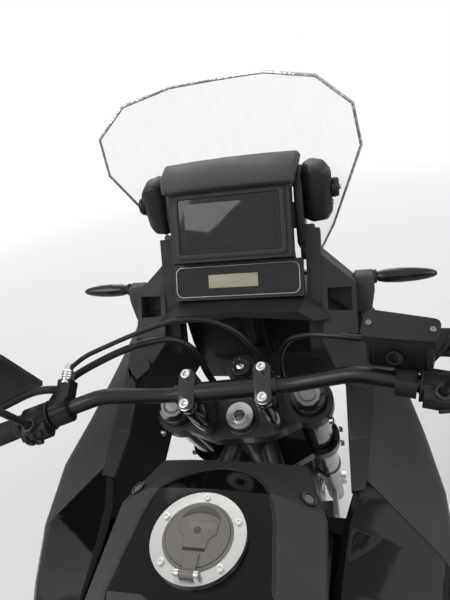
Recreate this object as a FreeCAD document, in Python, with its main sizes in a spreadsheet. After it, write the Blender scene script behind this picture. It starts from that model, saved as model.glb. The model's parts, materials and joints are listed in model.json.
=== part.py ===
import FreeCAD, Part
import math
import os
import re
from FreeCAD import Placement, Rotation, Vector

doc = FreeCAD.newDocument("AdventureMotorcycle")

# Driving sizes, in millimetres and degrees: +X forward, +Y left, +Z up, ground at zero
SIZES = {
    # Stance
    "front_axle_x": 820, "swing_length": 625, "rear_lift": 15, "rake": 27.5, "trail": 113, "steer_rest": 5.5,
    "seat_gap": 0.3, "pin_gap": 0.08,
    # Front wheel
    "front_tyre_radius": 347, "front_tyre_width": 90, "front_section": 79, "front_bead_half": 29,
    "front_rim_half": 34, "front_rim_depth": 18, "front_disc_radius": 160, "front_disc_inner": 116,
    "front_disc_place": 63.5, "disc_thick": 5, "front_axle_radius": 12, "front_hub_half": 61,
    "front_hub_flange": 46, "front_hub_radius": 27, "front_spokes": 32, "spoke_radius": 2.2,
    # Rear wheel
    "rear_tyre_radius": 334, "rear_tyre_width": 150, "rear_section": 104, "rear_bead_half": 49,
    "rear_rim_half": 54, "rear_rim_depth": 18, "rear_disc_radius": 130, "rear_disc_inner": 92,
    "rear_disc_place": 86, "rear_axle_radius": 12.5, "rear_hub_half": 84, "rear_hub_flange": 62,
    "rear_hub_radius": 34, "rear_spokes": 32,
    # Steering
    "fork_ahead": 23, "fork_half": 106, "fork_tube_radius": 27, "fork_slider_radius": 23,
    "fork_top": 1192, "clamp_top": 1178, "clamp_thick": 32,
    "lower_clamp_top": 975, "lower_clamp_thick": 38, "stem_radius": 15, "head_tube_radius": 30,
    "clamp_wall": 10, "bar_ahead": 9.7, "bar_rise": 103, "bar_radius": 14.3, "bar_end_radius": 11.1,
    "bar_clamp_place": 53.6, "bar_clamp_width": 32, "bar_bolt_half": 21.5, "ignition_ahead": 86,
    "ignition_radius": 19, "grip_radius": 16.5, "grip_start": 291, "grip_end": 418,
    # Swingarm, chain and shock
    "pivot_x": -130, "pivot_z": 385, "pivot_radius": 22, "pivot_bolt_radius": 10, "plate_inner": 109,
    "plate_thick": 14, "arm_inner": 114, "arm_thick": 32, "arm_height": 66, "beam_clear": 41,
    "beam_depth": 80, "sprocket_x": -55, "sprocket_z": 395, "front_pitch_radius": 43,
    "rear_pitch_radius": 106, "chain_place": 98, "chain_width": 15, "chain_height": 15,
    "sprocket_teeth": 42, "sprocket_clear": 4, "shock_radius": 30, "sprocket_thick": 7,
    # Engine
    "crank_x": 110, "crank_z": 330, "case_half": 104, "case_half_rear": 84, "cylinder_tilt_front": 50,
    "cylinder_tilt_rear": 25, "cylinder_width": 150, "cylinder_depth": 140, "cylinder_start": 80,
    "cylinder_length": 150, "head_length": 80, "cam_cover_length": 34, "cover_radius": 78,
    "clutch_radius": 92, "cover_depth": 34,
    # Stands
    "stand_pivot_x": -128, "stand_pivot_z": 292, "stand_tube_radius": 14, "stand_leg_half": 126,
    "stand_foot_ahead": 18, "side_pivot_x": 18, "side_pivot_z": 252, "side_pivot_y": 152,
    "side_leg_length": 222, "side_leg_radius": 12,
    # Fuel cap
    "cap_x": 157, "cap_z": 1098, "cap_radius": 54, "cap_thick": 8, "lid_radius": 36, "lid_thick": 7,
    "hinge_radius": 4, "filler_radius": 30, "filler_depth": 40,
    # Display
    "display_x": 520, "display_z": 1317, "display_tilt": 29, "display_width": 156, "display_height": 83,
    "lower_display_x": 507, "lower_display_z": 1227, "lower_display_tilt": 31,
    "lower_display_width": 194, "lower_display_height": 44,
    # Tubes of the frame
    "frame_tube_radius": 15, "brace_tube_radius": 11, "rail_tube_radius": 12,
}
sheet = doc.addObject("Spreadsheet::Sheet", "Sizes")
for row, (alias, number) in enumerate(SIZES.items(), start=1):
    sheet.set("A%d" % row, alias)
    sheet.set("B%d" % row, str(number))
    sheet.setAlias("B%d" % row, alias)
doc.recompute()


def size(alias):
    """Number held by the sheet under this name."""
    return float(sheet.get(alias))


def in_sheet(text):
    """Expression text whose size names point at the sheet."""
    return re.sub(r"[A-Za-z_]\w*", lambda word: "Sizes." + word[0] if word[0] in SIZES else word[0], str(text))


def bind(thing, **properties):
    """Ties properties of an object to expressions of the sheet's sizes."""
    for name, text in properties.items():
        thing.setExpression(name, in_sheet(text))


def place(thing, spot, turn=None):
    """Ties an object's place to three expressions, with an optional fixed rotation."""
    thing.Placement = Placement(Vector(), turn or Rotation())
    for axis, text in zip("xyz", spot):
        thing.setExpression(".Placement.Base." + axis, in_sheet(text))


NODES = []


def node(label, thing, placement=None):
    """Names a finished sub-part and keeps it for export."""
    thing.Label = label
    if placement is not None:
        thing.Placement = placement
    NODES.append(thing)
    return thing


def feature(label, shape):
    """Sub-part whose shape comes straight from solids."""
    thing = doc.addObject("Part::Feature", label)
    thing.Shape = shape
    return thing


ALONG_Y = Rotation(Vector(0, 0, 1), Vector(0, 1, 0))


def rod(name, radius, length, spot, turn=None):
    """Cylinder bound to the sheet; spot is the centre of its first end."""
    thing = doc.addObject("Part::Cylinder", name)
    bind(thing, Radius=radius, Height=length)
    place(thing, spot, turn)
    return thing


def block(name, extent, spot, turn=None):
    """Box bound to the sheet; spot is its low corner."""
    thing = doc.addObject("Part::Box", name)
    bind(thing, Length=extent[0], Width=extent[1], Height=extent[2])
    place(thing, spot, turn)
    return thing


def fused(name, things):
    """Union of objects."""
    thing = doc.addObject("Part::MultiFuse", name)
    thing.Shapes = things
    return thing


def without(name, base, tool):
    """Object with another one cut away."""
    thing = doc.addObject("Part::Cut", name)
    thing.Base = base
    thing.Tool = tool
    return thing


# Plain solids for forms that no single primitive or sketch makes

def polygon(points):
    """Closed wire through points."""
    return Part.makePolygon([Vector(*point) for point in points] + [Vector(*points[0])])


def plate_y(points, low, high):
    """Side outline in X and Z, raised from low to high in Y."""
    face = Part.Face(polygon([(x, low, z) for x, z in points]))
    return face.extrude(Vector(0, high - low, 0))


def plate_z(points, low, high):
    """Plan outline in X and Y, raised from low to high in Z."""
    face = Part.Face(polygon([(x, y, low) for x, y in points]))
    return face.extrude(Vector(0, 0, high - low))


def mirrored(shape):
    """Same shape on the other side of the middle plane."""
    return shape.mirror(Vector(0, 0, 0), Vector(0, 1, 0))


def both_sides(shape):
    """Shape and its mirror image, as two solids of one sub-part."""
    return Part.makeCompound([shape, mirrored(shape)])


def union(shapes):
    """One shape of several that touch or overlap."""
    return shapes[0].multiFuse(shapes[1:]).removeSplitter()


def loft(sections):
    """Straight-ruled solid through outlines with equal numbers of corners."""
    return Part.makeLoft([polygon(section) for section in sections], True, True)


def rounded(points, radii):
    """Closed wire through points, with a tangent arc of its own radius at the listed corners."""
    spots = [Vector(*point) for point in points]
    ends = [(corner, corner, corner) for corner in spots]
    for index, radius in radii.items():
        corner = spots[index]
        back = spots[index - 1] - corner
        ahead = spots[(index + 1) % len(spots)] - corner
        turn = math.pi - back.getAngle(ahead)
        run = min(0.42 * min(back.Length, ahead.Length), radius * math.tan(turn / 2))
        back.normalize()
        ahead.normalize()
        middle = (back + ahead).normalize()
        ends[index] = (corner + back * run, corner + middle * reach_of(run, turn), corner + ahead * run)
    edges = []
    for index, (enter, top, leave) in enumerate(ends):
        if index in radii:
            edges.append(Part.Arc(enter, top, leave).toShape())
        edges.append(Part.LineSegment(leave, ends[(index + 1) % len(ends)][0]).toShape())
    return Part.Wire(edges)


def stations(table, radii=None):
    """Loft whose rows are a station in X and the whole outline in Y and Z, with rounded corners."""
    outlines = [[(x, y, z) for y, z in outline] for x, outline in table]
    if radii is None:
        return loft(outlines)
    return Part.makeLoft([rounded(outline, radii) for outline in outlines], True, True)


def both_corners(count, radii):
    """Radii of a symmetric outline's corners, from those of its left half."""
    whole = dict(radii)
    for index, radius in radii.items():
        whole[count - index] = radius
    return whole


def symmetric(half):
    """Whole outline from its left half, listed from the top middle to the bottom middle."""
    right = [(-y, z) for y, z in reversed(half) if y > 0]
    return list(half) + right


def tube(points, radius, bend=None):
    """Round tube along straight runs joined by tangent arcs."""
    spots = [Vector(*point) for point in points]
    edges = []
    start = spots[0]
    for before, corner, after in zip(spots, spots[1:], spots[2:]):
        back = before - corner
        ahead = after - corner
        turn = math.pi - back.getAngle(ahead)
        short = min(back.Length, ahead.Length)
        run = 0.45 * short if bend is None else min(0.45 * short, bend * math.tan(turn / 2))
        back.normalize()
        ahead.normalize()
        enter = corner + back * run
        leave = corner + ahead * run
        middle = (back + ahead).normalize()
        top = corner + middle * reach_of(run, turn)
        edges.append(Part.LineSegment(start, enter).toShape())
        edges.append(Part.Arc(enter, top, leave).toShape())
        start = leave
    edges.append(Part.LineSegment(start, spots[-1]).toShape())
    path = Part.Wire(edges)
    ring = Part.Wire(Part.Circle(spots[0], spots[1] - spots[0], radius).toShape())
    solid = path.makePipeShell([ring], True, False)
    share = solid.Volume / (math.pi * radius * radius * path.Length)
    if abs(share - 1) > 0.02:
        raise ValueError("tube volume is off by %.3f" % share)
    return solid


def reach_of(run, turn):
    """Distance from a corner to the middle of its tangent arc."""
    bend = run / math.tan(turn / 2)
    return bend / math.cos(turn / 2) - bend


def trimmed(shape, neighbours):
    """Shape with each neighbour cut away in turn."""
    for neighbour in neighbours:
        shape = shape.cut(neighbour)
    return shape


def main_piece(shape):
    """Largest solid of a shape, without chips that a cut leaves beyond its seat."""
    return max(shape.Solids, key=lambda solid: solid.Volume)


def cylinder(radius, length, spot, direction):
    """Plain cylinder solid."""
    return Part.makeCylinder(radius, length, Vector(*spot), Vector(*direction))


def across(radius, half, x, z, middle=0.0):
    """Plain cylinder across the machine, centred on middle."""
    return cylinder(radius, 2 * half, (x, middle - half, z), (0, 1, 0))


# Frames of reference
RAKE = math.radians(size("rake"))
SIN, COS = math.sin(RAKE), math.cos(RAKE)
AXLE_X = size("front_axle_x")
GROUND_X = AXLE_X + size("trail")
AXLE_AHEAD = size("front_tyre_radius") * SIN - size("trail") * COS
AXLE_UP = size("front_tyre_radius") * COS + size("trail") * SIN
REAR_X = size("pivot_x") - size("swing_length")
REAR_Z = size("rear_tyre_radius") + size("rear_lift")
STRAIGHT = Placement(Vector(GROUND_X, 0, 0), Rotation(Vector(0, 1, 0), -size("rake")))
STEERED = STRAIGHT.multiply(Placement(Vector(), Rotation(Vector(0, 0, 1), size("steer_rest"))))
FRONT_BEAD = size("front_tyre_radius") - size("front_section")
REAR_BEAD = size("rear_tyre_radius") - size("rear_section")
GAP = size("seat_gap")
FIT = size("pin_gap")


def body_frame(ahead, up):
    """X and Z of a point given ahead of and along the straight steering axis."""
    return GROUND_X - SIN * up + COS * ahead, COS * up + SIN * ahead


# Wheels

def tyre_solid(radius, width, bead, bead_half):
    """Tyre turned about Y, centred on the origin."""
    half = width / 2
    shoulder = radius - 0.34 * width
    flank = bead + 12
    edges = [
        Part.LineSegment(Vector(0, -bead_half, bead), Vector(0, -bead_half, flank)).toShape(),
        Part.Arc(Vector(0, -bead_half, flank), Vector(0, -half + 1, (flank + shoulder) / 2),
                 Vector(0, -half, shoulder)).toShape(),
        Part.Arc(Vector(0, -half, shoulder), Vector(0, 0, radius), Vector(0, half, shoulder)).toShape(),
        Part.Arc(Vector(0, half, shoulder), Vector(0, half - 1, (flank + shoulder) / 2),
                 Vector(0, bead_half, flank)).toShape(),
        Part.LineSegment(Vector(0, bead_half, flank), Vector(0, bead_half, bead)).toShape(),
        Part.LineSegment(Vector(0, bead_half, bead), Vector(0, -bead_half, bead)).toShape(),
    ]
    face = Part.Face(Part.Wire(edges))
    return face.revolve(Vector(), Vector(0, 1, 0), 360)


def turned(points):
    """Solid turned about Y from an outline in Y and radius."""
    face = Part.Face(polygon([(0, y, r) for y, r in points]))
    return face.revolve(Vector(), Vector(0, 1, 0), 360)


def wire_wheel(bead, bead_half, rim_half, depth, hub_half, flange, hub_radius, bore, count):
    """Rim, hub and crossed spokes as one solid about Y."""
    seat = bead - GAP
    lip = bead + 9
    rim = turned([(-rim_half, lip), (-bead_half - 1, lip), (-bead_half - 1, seat), (bead_half + 1, seat),
                  (bead_half + 1, lip), (rim_half, lip), (rim_half, seat - 5),
                  (rim_half / 2, seat - depth), (-rim_half / 2, seat - depth), (-rim_half, seat - 5)])
    inner = 0.55 * hub_half
    outer = inner + 6
    hub = turned([(-hub_half, bore), (hub_half, bore), (hub_half, hub_radius), (outer, hub_radius),
                  (outer, flange), (inner, flange), (inner, hub_radius), (-inner, hub_radius),
                  (-inner, flange), (-outer, flange), (-outer, hub_radius), (-hub_half, hub_radius)])
    spokes = []
    for index in range(count):
        side = 1 if index % 2 == 0 else -1
        lean = 1 if index % 4 < 2 else -1
        angle = 2 * math.pi * index / count
        foot = angle - lean * math.radians(38)
        start = Vector((flange - 6) * math.cos(foot), side * (inner + 3), (flange - 6) * math.sin(foot))
        end = Vector((seat - depth + 6) * math.cos(angle), side * 0.25 * rim_half,
                     (seat - depth + 6) * math.sin(angle))
        run = end - start
        corners = [Rotation(Vector(0, 0, 1), run).multVec(
            Vector(size("spoke_radius") * math.cos(turn), size("spoke_radius") * math.sin(turn), 0)) + start
            for turn in (0.0, math.pi / 2, math.pi, 1.5 * math.pi)]
        spokes.append(Part.Face(Part.makePolygon(corners + [corners[0]])).extrude(run))
    return rim.multiFuse([hub] + spokes)


def disc_solid(radius, inner, start, thick, hub_radius, slots):
    """Brake disc from start in Y: ring, carrier arms and round cut-outs."""
    ring = turned([(start, inner), (start + thick, inner), (start + thick, radius), (start, radius)])
    core = turned([(start, hub_radius - 16), (start + thick, hub_radius - 16),
                   (start + thick, hub_radius), (start, hub_radius)])
    arms = []
    for index in range(slots):
        arm = Part.makeBox(inner - hub_radius + 12, thick, 16, Vector(hub_radius - 6, start, -8))
        arm.rotate(Vector(), Vector(0, 1, 0), 360.0 * index / slots)
        arms.append(arm)
    holes = []
    for index in range(2 * slots):
        angle = 2 * math.pi * (index + 0.5) / (2 * slots)
        reach = (radius + inner) / 2
        holes.append(cylinder(7, thick + 2, (reach * math.cos(angle), start - 1, reach * math.sin(angle)),
                              (0, 1, 0)))
    return ring.multiFuse([core] + arms).cut(Part.makeCompound(holes))


FRONT_HUB_BORE = size("front_axle_radius") + FIT
front_tyre = tyre_solid(size("front_tyre_radius"), size("front_tyre_width"),
                        FRONT_BEAD, size("front_bead_half"))
front_rim = wire_wheel(FRONT_BEAD, size("front_bead_half"), size("front_rim_half"),
                       size("front_rim_depth"), size("front_hub_half"), size("front_hub_flange"),
                       size("front_hub_radius"), FRONT_HUB_BORE, int(size("front_spokes")))
front_disc = disc_solid(size("front_disc_radius"), size("front_disc_inner"), size("front_disc_place"),
                        size("disc_thick"), 58, 8)
carrier = turned([(size("front_hub_half") - 8, size("front_hub_radius") + GAP),
                  (size("front_disc_place"), size("front_hub_radius") + GAP),
                  (size("front_disc_place"), 56), (size("front_hub_half") - 8, 48)])
front_discs = both_sides(front_disc.fuse(carrier))
AT_FRONT_AXLE = STEERED.multiply(Placement(Vector(AXLE_AHEAD, 0, AXLE_UP), Rotation()))
node("front_tyre", feature("front_tyre", front_tyre), AT_FRONT_AXLE)
node("front_rim", feature("front_rim", front_rim), AT_FRONT_AXLE)
node("front_discs", feature("front_discs", front_discs), AT_FRONT_AXLE)

rear_tyre = tyre_solid(size("rear_tyre_radius"), size("rear_tyre_width"),
                       REAR_BEAD, size("rear_bead_half"))
rear_rim = wire_wheel(REAR_BEAD, size("rear_bead_half"), size("rear_rim_half"),
                      size("rear_rim_depth"), size("rear_hub_half"), size("rear_hub_flange"),
                      size("rear_hub_radius"), size("rear_axle_radius") + FIT, int(size("rear_spokes")))
rear_carrier_ring = turned([(size("rear_hub_half") - 10, size("rear_hub_radius") + GAP),
                            (size("rear_disc_place"), size("rear_hub_radius") + GAP),
                            (size("rear_disc_place"), 56), (size("rear_hub_half") - 10, 50)])
rear_disc = mirrored(disc_solid(size("rear_disc_radius"), size("rear_disc_inner"), size("rear_disc_place"),
                                size("disc_thick"), 62, 6).fuse(rear_carrier_ring))
TOOTH_TIP = size("rear_pitch_radius") - size("chain_height") / 2 - size("sprocket_clear")


def sprocket_solid():
    """Toothed ring with six arms, centred on the chain's plane."""
    low = size("chain_place") - size("sprocket_thick") / 2
    high = low + size("sprocket_thick")
    teeth = int(size("sprocket_teeth"))
    outline = []
    for index in range(teeth):
        for share, reach in ((-0.22, TOOTH_TIP - 7), (-0.08, TOOTH_TIP), (0.08, TOOTH_TIP),
                             (0.22, TOOTH_TIP - 7)):
            angle = 2 * math.pi * (index + share) / teeth
            outline.append((reach * math.cos(angle), reach * math.sin(angle)))
    ring = plate_y(outline, low, high)
    ring = ring.cut(across(34, 200, 0, 0))
    windows = []
    for index in range(6):
        angle = 2 * math.pi * (index + 0.5) / 6
        windows.append(cylinder(13, 40, (62 * math.cos(angle), low - 5, 62 * math.sin(angle)), (0, 1, 0)))
    ring = ring.cut(Part.makeCompound(windows))
    drum = turned([(size("rear_hub_half") - 10, size("rear_hub_radius") + GAP),
                   (low, size("rear_hub_radius") + GAP), (low, 50), (size("rear_hub_half") - 10, 50)])
    return ring.fuse(drum)


AT_REAR_AXLE = Placement(Vector(REAR_X, 0, REAR_Z), Rotation())
node("rear_tyre", feature("rear_tyre", rear_tyre), AT_REAR_AXLE)
node("rear_rim", feature("rear_rim", rear_rim), AT_REAR_AXLE)
node("rear_disc", feature("rear_disc", rear_disc), AT_REAR_AXLE)
node("rear_sprocket", feature("rear_sprocket", sprocket_solid()), AT_REAR_AXLE)

# Steering, modelled upright about its own axis and then leaned and turned as one


def fork_clamp(low, high, reach_back, reach_ahead):
    """Clamp with two fork bosses and a bridge, holes cut."""
    boss = size("fork_tube_radius") + size("clamp_wall")
    pieces = []
    for side in (-1, 1):
        foot = (size("fork_ahead"), side * size("fork_half"), low)
        pieces.append(cylinder(boss, high - low, foot, (0, 0, 1)))
    half = size("fork_half")
    bridge = plate_z([(-reach_back, -44), (-reach_back, 44), (-4, half), (48, half), (reach_ahead, 40),
                      (reach_ahead, -40), (48, -half), (-4, -half)], low, high)
    solid = union(pieces + [bridge])
    holes = [cylinder(size("fork_tube_radius") + GAP / 2, high - low + 2,
                      (size("fork_ahead"), side * half, low - 1), (0, 0, 1)) for side in (-1, 1)]
    holes.append(cylinder(size("stem_radius") + GAP / 2, high - low + 2, (0, 0, low - 1), (0, 0, 1)))
    return solid.cut(Part.makeCompound(holes))


FENDER_INNER = size("front_tyre_radius") + 20
FORK_SPLIT = AXLE_UP + FENDER_INNER - 7
CLAMP_LOW = size("clamp_top") - size("clamp_thick")
LOWER_LOW = size("lower_clamp_top") - size("lower_clamp_thick")
top_clamp = fork_clamp(CLAMP_LOW, size("clamp_top"), 30, 66)
ignition_boss = cylinder(size("ignition_radius") + 6, size("clamp_thick") - 6,
                         (size("ignition_ahead"), 0, CLAMP_LOW + 3), (0, 0, 1))
top_clamp = union([top_clamp, ignition_boss])
lower_clamp = fork_clamp(LOWER_LOW, size("lower_clamp_top"), 34, 50)
node("fork_clamps", feature("fork_clamps", Part.makeCompound([top_clamp, lower_clamp])), STEERED)

stem = rod("stem_bar", "stem_radius", "clamp_top + 6 - lower_clamp_top + lower_clamp_thick",
           ("0", "0", "lower_clamp_top - lower_clamp_thick"))
stem_bore = rod("stem_bore", "stem_radius - 6", "60", ("0", "0", "clamp_top - 30"))
hollow_stem = without("hollow_stem", stem, stem_bore)
nut_outer = rod("nut_outer", "stem_radius + 6", "18", ("0", "0", "clamp_top + seat_gap"))
nut_inner = rod("nut_inner", "stem_radius - 5.8", "30", ("0", "0", "clamp_top - 4"))
nut_ring = without("nut_ring", nut_outer, nut_inner)
node("steering_stem", fused("steering_stem", [hollow_stem, nut_ring]), STEERED)


def fork_pair(profile):
    """Left and right copies of a solid turned about a fork leg, from radius and height."""
    face = Part.Face(polygon([(radius, 0, up) for radius, up in profile]))
    leg = face.revolve(Vector(), Vector(0, 0, 1), 360)
    legs = []
    for side in (-1, 1):
        copy = leg.copy()
        copy.translate(Vector(size("fork_ahead"), side * size("fork_half"), 0))
        legs.append(copy)
    return legs


TUBE = size("fork_tube_radius")
outer_profile = [(0, FORK_SPLIT), (TUBE + 3, FORK_SPLIT), (TUBE + 3, FORK_SPLIT + 26),
                 (TUBE, FORK_SPLIT + 32), (TUBE, size("fork_top")), (0, size("fork_top"))]
cap_low = size("fork_top") + GAP
cap_profile = [(0, cap_low), (TUBE - 2, cap_low), (TUBE - 2, cap_low + 4), (16, cap_low + 5),
               (16, cap_low + 11), (0, cap_low + 11)]
fork_tops = Part.makeCompound(fork_pair(outer_profile) + fork_pair(cap_profile))
node("fork_outer_tubes", feature("fork_outer_tubes", fork_tops), STEERED)

SLIDER = size("fork_slider_radius")
slider_legs = fork_pair([(0, AXLE_UP - 25), (SLIDER, AXLE_UP - 25), (SLIDER, FORK_SPLIT - GAP),
                         (0, FORK_SPLIT - GAP)])


def slider_with_lugs(leg, side):
    """Slider with its axle lug and the ears that carry the caliper."""
    place_y = side * size("fork_half")
    lug = cylinder(30, 44, (AXLE_AHEAD, place_y - 22, AXLE_UP), (0, 1, 0))
    web = Part.makeBox(AXLE_AHEAD - size("fork_ahead") + 8, 40, 84,
                       Vector(size("fork_ahead") - 4, place_y - 20, AXLE_UP - 26))
    ear_x, ear_z = AXLE_AHEAD - 122, AXLE_UP + 68
    ears = plate_y([(ear_x, ear_z), (ear_x, ear_z + 92), (size("fork_ahead") - 3, ear_z + 72),
                    (size("fork_ahead") - 3, ear_z - 28)], place_y - 6, place_y + 6)
    solid = union([leg, lug, web, ears])
    return solid.cut(across(size("front_axle_radius") + GAP / 2, 200, AXLE_AHEAD, AXLE_UP))


sliders = [slider_with_lugs(leg, side) for leg, side in zip(slider_legs, (-1, 1))]
node("fork_sliders", feature("fork_sliders", Part.makeCompound(sliders)), STEERED)

axle_bar = rod("axle_bar", "front_axle_radius", "2 * fork_half + 60", ("0", "-fork_half - 30", "0"), ALONG_Y)
collars = []
for side, start in (("left", "front_hub_half + 1"), ("right", "-fork_half + 22 + seat_gap")):
    collars.append(rod("axle_collar_" + side, "front_axle_radius + 6",
                       "fork_half - 22 - seat_gap - front_hub_half - 1", ("0", start, "0"), ALONG_Y))
nuts = []
for side, start in (("left", "fork_half + 22 + seat_gap"), ("right", "-fork_half - 22 - 12 - seat_gap")):
    nuts.append(rod("axle_nut_" + side, "front_axle_radius + 7", "12", ("0", start, "0"), ALONG_Y))
node("front_axle", fused("front_axle", [axle_bar] + collars + nuts), AT_FRONT_AXLE)


def caliper_solid(ahead, up, low, high):
    """Caliper body about a middle given ahead and up, before its disc slot."""
    outline = [(ahead - 30, up - 46), (ahead + 16, up - 52), (ahead + 32, up - 20), (ahead + 30, up + 36),
               (ahead + 6, up + 52), (ahead - 34, up + 40)]
    return plate_y(outline, low, high)


def front_caliper(side):
    """Caliper on the ear behind a fork leg, straddling its disc."""
    disc_low = size("front_disc_place")
    disc_high = disc_low + size("disc_thick")
    body = caliper_solid(AXLE_AHEAD - 116, AXLE_UP + 114, disc_low - 24, size("fork_half") - 6 - GAP)
    slot = turned([(disc_low - 5.2, 30), (disc_high + 5.2, 30), (disc_high + 5.2, 168), (disc_low - 5.2, 168)])
    slot.translate(Vector(AXLE_AHEAD, 0, AXLE_UP))
    solid = body.cut(slot).cut(cylinder(SLIDER + 1, 400, (size("fork_ahead"), size("fork_half"), AXLE_UP - 60),
                                        (0, 0, 1)))
    return solid if side > 0 else mirrored(solid)


node("front_calipers", feature("front_calipers", Part.makeCompound([front_caliper(1), front_caliper(-1)])),
     STEERED)


def front_fender_solid():
    """Mudguard over the front tyre, with the side plates that meet the sliders."""
    inner = FENDER_INNER
    profile = [(-72, inner - 40), (-68, inner - 40), (-66, inner - 6), (-30, inner + 6), (30, inner + 6),
               (66, inner - 6), (68, inner - 40), (72, inner - 40), (70, inner - 3), (32, inner + 10),
               (-32, inner + 10), (-70, inner - 3)]
    face = Part.Face(polygon([(r, y, 0) for y, r in profile]))
    guard = face.revolve(Vector(), Vector(0, -1, 0), 112)
    guard.rotate(Vector(), Vector(0, -1, 0), 36)
    guard.translate(Vector(AXLE_AHEAD, 0, AXLE_UP))
    ahead = size("fork_ahead")
    plates = []
    for side in (-1, 1):
        low = 68 if side > 0 else -72
        plate_low, plate_high = AXLE_UP + inner - 87, AXLE_UP + inner - 27
        plates.append(plate_y([(ahead - 34, plate_low), (ahead + 40, plate_low), (ahead + 60, plate_high),
                               (ahead - 60, plate_high)], low, low + 4))
        span = size("fork_half") - SLIDER - GAP - 70
        start = 70 if side > 0 else -70 - span
        plates.append(cylinder(9, span, (ahead, start, plate_low + 22), (0, 1, 0)))
    return union([guard] + plates)


node("front_fender", feature("front_fender", front_fender_solid()), STEERED)

# Handlebar and what it carries
BAR_AHEAD, BAR_UP = size("bar_ahead"), size("clamp_top") + size("bar_rise")
BAR_HALF = [(BAR_AHEAD, 0, BAR_UP), (BAR_AHEAD, 92, BAR_UP), (BAR_AHEAD - 2, 176, BAR_UP + 24),
            (BAR_AHEAD - 80, 430, BAR_UP + 32)]


def bar_point(left):
    """Point of the handlebar's outer straight run at a distance to the left, in whole length."""
    start, end = Vector(*BAR_HALF[2]), Vector(*BAR_HALF[3])
    share = (abs(left) - start.y) / (end.y - start.y)
    spot = start + (end - start) * share
    return Vector(spot.x, math.copysign(spot.y, left), spot.z)


def bar_direction(side):
    """Unit vector outwards along the handlebar's end."""
    run = Vector(*BAR_HALF[3]) - Vector(*BAR_HALF[2])
    run.normalize()
    return Vector(run.x, side * run.y, run.z)


bar_points = [(x, -y, z) for x, y, z in reversed(BAR_HALF[1:])] + BAR_HALF[1:]
bar_tube = tube(bar_points, size("bar_end_radius"), 90)
thick_half = 72
thick_middle = across(size("bar_radius"), thick_half, BAR_AHEAD, BAR_UP)
handlebar = union([bar_tube, thick_middle])
node("handlebar", feature("handlebar", handlebar), STEERED)


def on_bar(start, end, radius, side):
    """Plain cylinder about the handlebar's outer run, between two distances from the middle."""
    low = bar_point(side * start)
    high = bar_point(side * end)
    return Part.makeCylinder(radius, (high - low).Length, low, bar_direction(side))


def sleeve(start, end, radius, side):
    """Hollow sleeve about the handlebar."""
    core = on_bar(start - 2, end + 2, size("bar_end_radius") + GAP / 2, side)
    return on_bar(start, end, radius, side).cut(core)


grips = [sleeve(size("grip_start"), size("grip_end"), size("grip_radius"), side) for side in (-1, 1)]
node("grips", feature("grips", Part.makeCompound(grips)), STEERED)


def bar_clamp(side):
    """Riser with its lower and upper half shells, as two solids."""
    low = side * size("bar_clamp_place") - size("bar_clamp_width") / 2
    high = low + size("bar_clamp_width")
    bolt = size("bar_bolt_half")
    riser = plate_y([(BAR_AHEAD - 16, size("clamp_top") + GAP), (BAR_AHEAD + 20, size("clamp_top") + GAP),
                     (BAR_AHEAD + 18, BAR_UP - 40), (BAR_AHEAD + bolt + 9, BAR_UP - 18),
                     (BAR_AHEAD + bolt + 9, BAR_UP - 1), (BAR_AHEAD - bolt - 9, BAR_UP - 1),
                     (BAR_AHEAD - bolt - 9, BAR_UP - 18), (BAR_AHEAD - 14, BAR_UP - 40)], low, high)
    cap = plate_y([(BAR_AHEAD - bolt - 9, BAR_UP + 1), (BAR_AHEAD + bolt + 9, BAR_UP + 1),
                   (BAR_AHEAD + bolt + 9, BAR_UP + 10), (BAR_AHEAD + 14, BAR_UP + 22),
                   (BAR_AHEAD - 14, BAR_UP + 22), (BAR_AHEAD - bolt - 9, BAR_UP + 10)], low, high)
    bar_hole = across(size("bar_radius") + GAP / 2, 200, BAR_AHEAD, BAR_UP)
    return [riser.cut(bar_hole), cap.cut(bar_hole)]


node("bar_clamps", feature("bar_clamps", Part.makeCompound(bar_clamp(-1) + bar_clamp(1))), STEERED)


def housing(start, end, radius, side, lobes):
    """Housing about the handlebar with round lobes given as ahead, up and radius."""
    pieces = [on_bar(start, end, radius, side)]
    for ahead, up, lobe in lobes:
        low = bar_point(side * start) + Vector(ahead, 0, up)
        pieces.append(Part.makeCylinder(lobe, (bar_point(end) - bar_point(start)).Length, low,
                                        bar_direction(side)))
    core = on_bar(start - 30, end + 40, size("bar_end_radius") + GAP / 2, side)
    return union(pieces).cut(core)


SWITCH_START, SWITCH_END = 250, size("grip_start") - 8
switches = [housing(SWITCH_START, SWITCH_END, 21, 1, [(-15, 0, 16), (6, -9, 15)]),
            housing(SWITCH_START, SWITCH_END, 21, -1, [(-13, 0, 16), (6, -8, 15)])]


PERCH = 222


def lever(side):
    """Bent lever ahead of a grip, with a ball at its end."""
    root = bar_point(side * (PERCH + 14)) + Vector(34, 0, -2)
    knee = bar_point(side * (PERCH + 66)) + Vector(54, 0, -4)
    bend = bar_point(side * (PERCH + 128)) + Vector(46, 0, -6)
    tip = bar_point(side * (size("grip_end") - 14)) + Vector(46, 0, -6)
    blade = tube([tuple(root), tuple(knee), tuple(bend), tuple(tip)], 6)
    return union([blade, Part.makeSphere(8, tip)])


def perch(side):
    """Clamp on the handlebar with the arm that carries a lever."""
    ring = on_bar(PERCH, PERCH + 24, 19, side)
    low = bar_point(side * (PERCH + 2))
    arm = Part.makeBox(38, 20, 22, Vector(low.x + 4, low.y - (0 if side > 0 else 20), low.z - 11))
    core = on_bar(PERCH - 4, PERCH + 28, size("bar_end_radius") + GAP / 2, side)
    return union([ring, arm]).cut(core)


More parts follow.
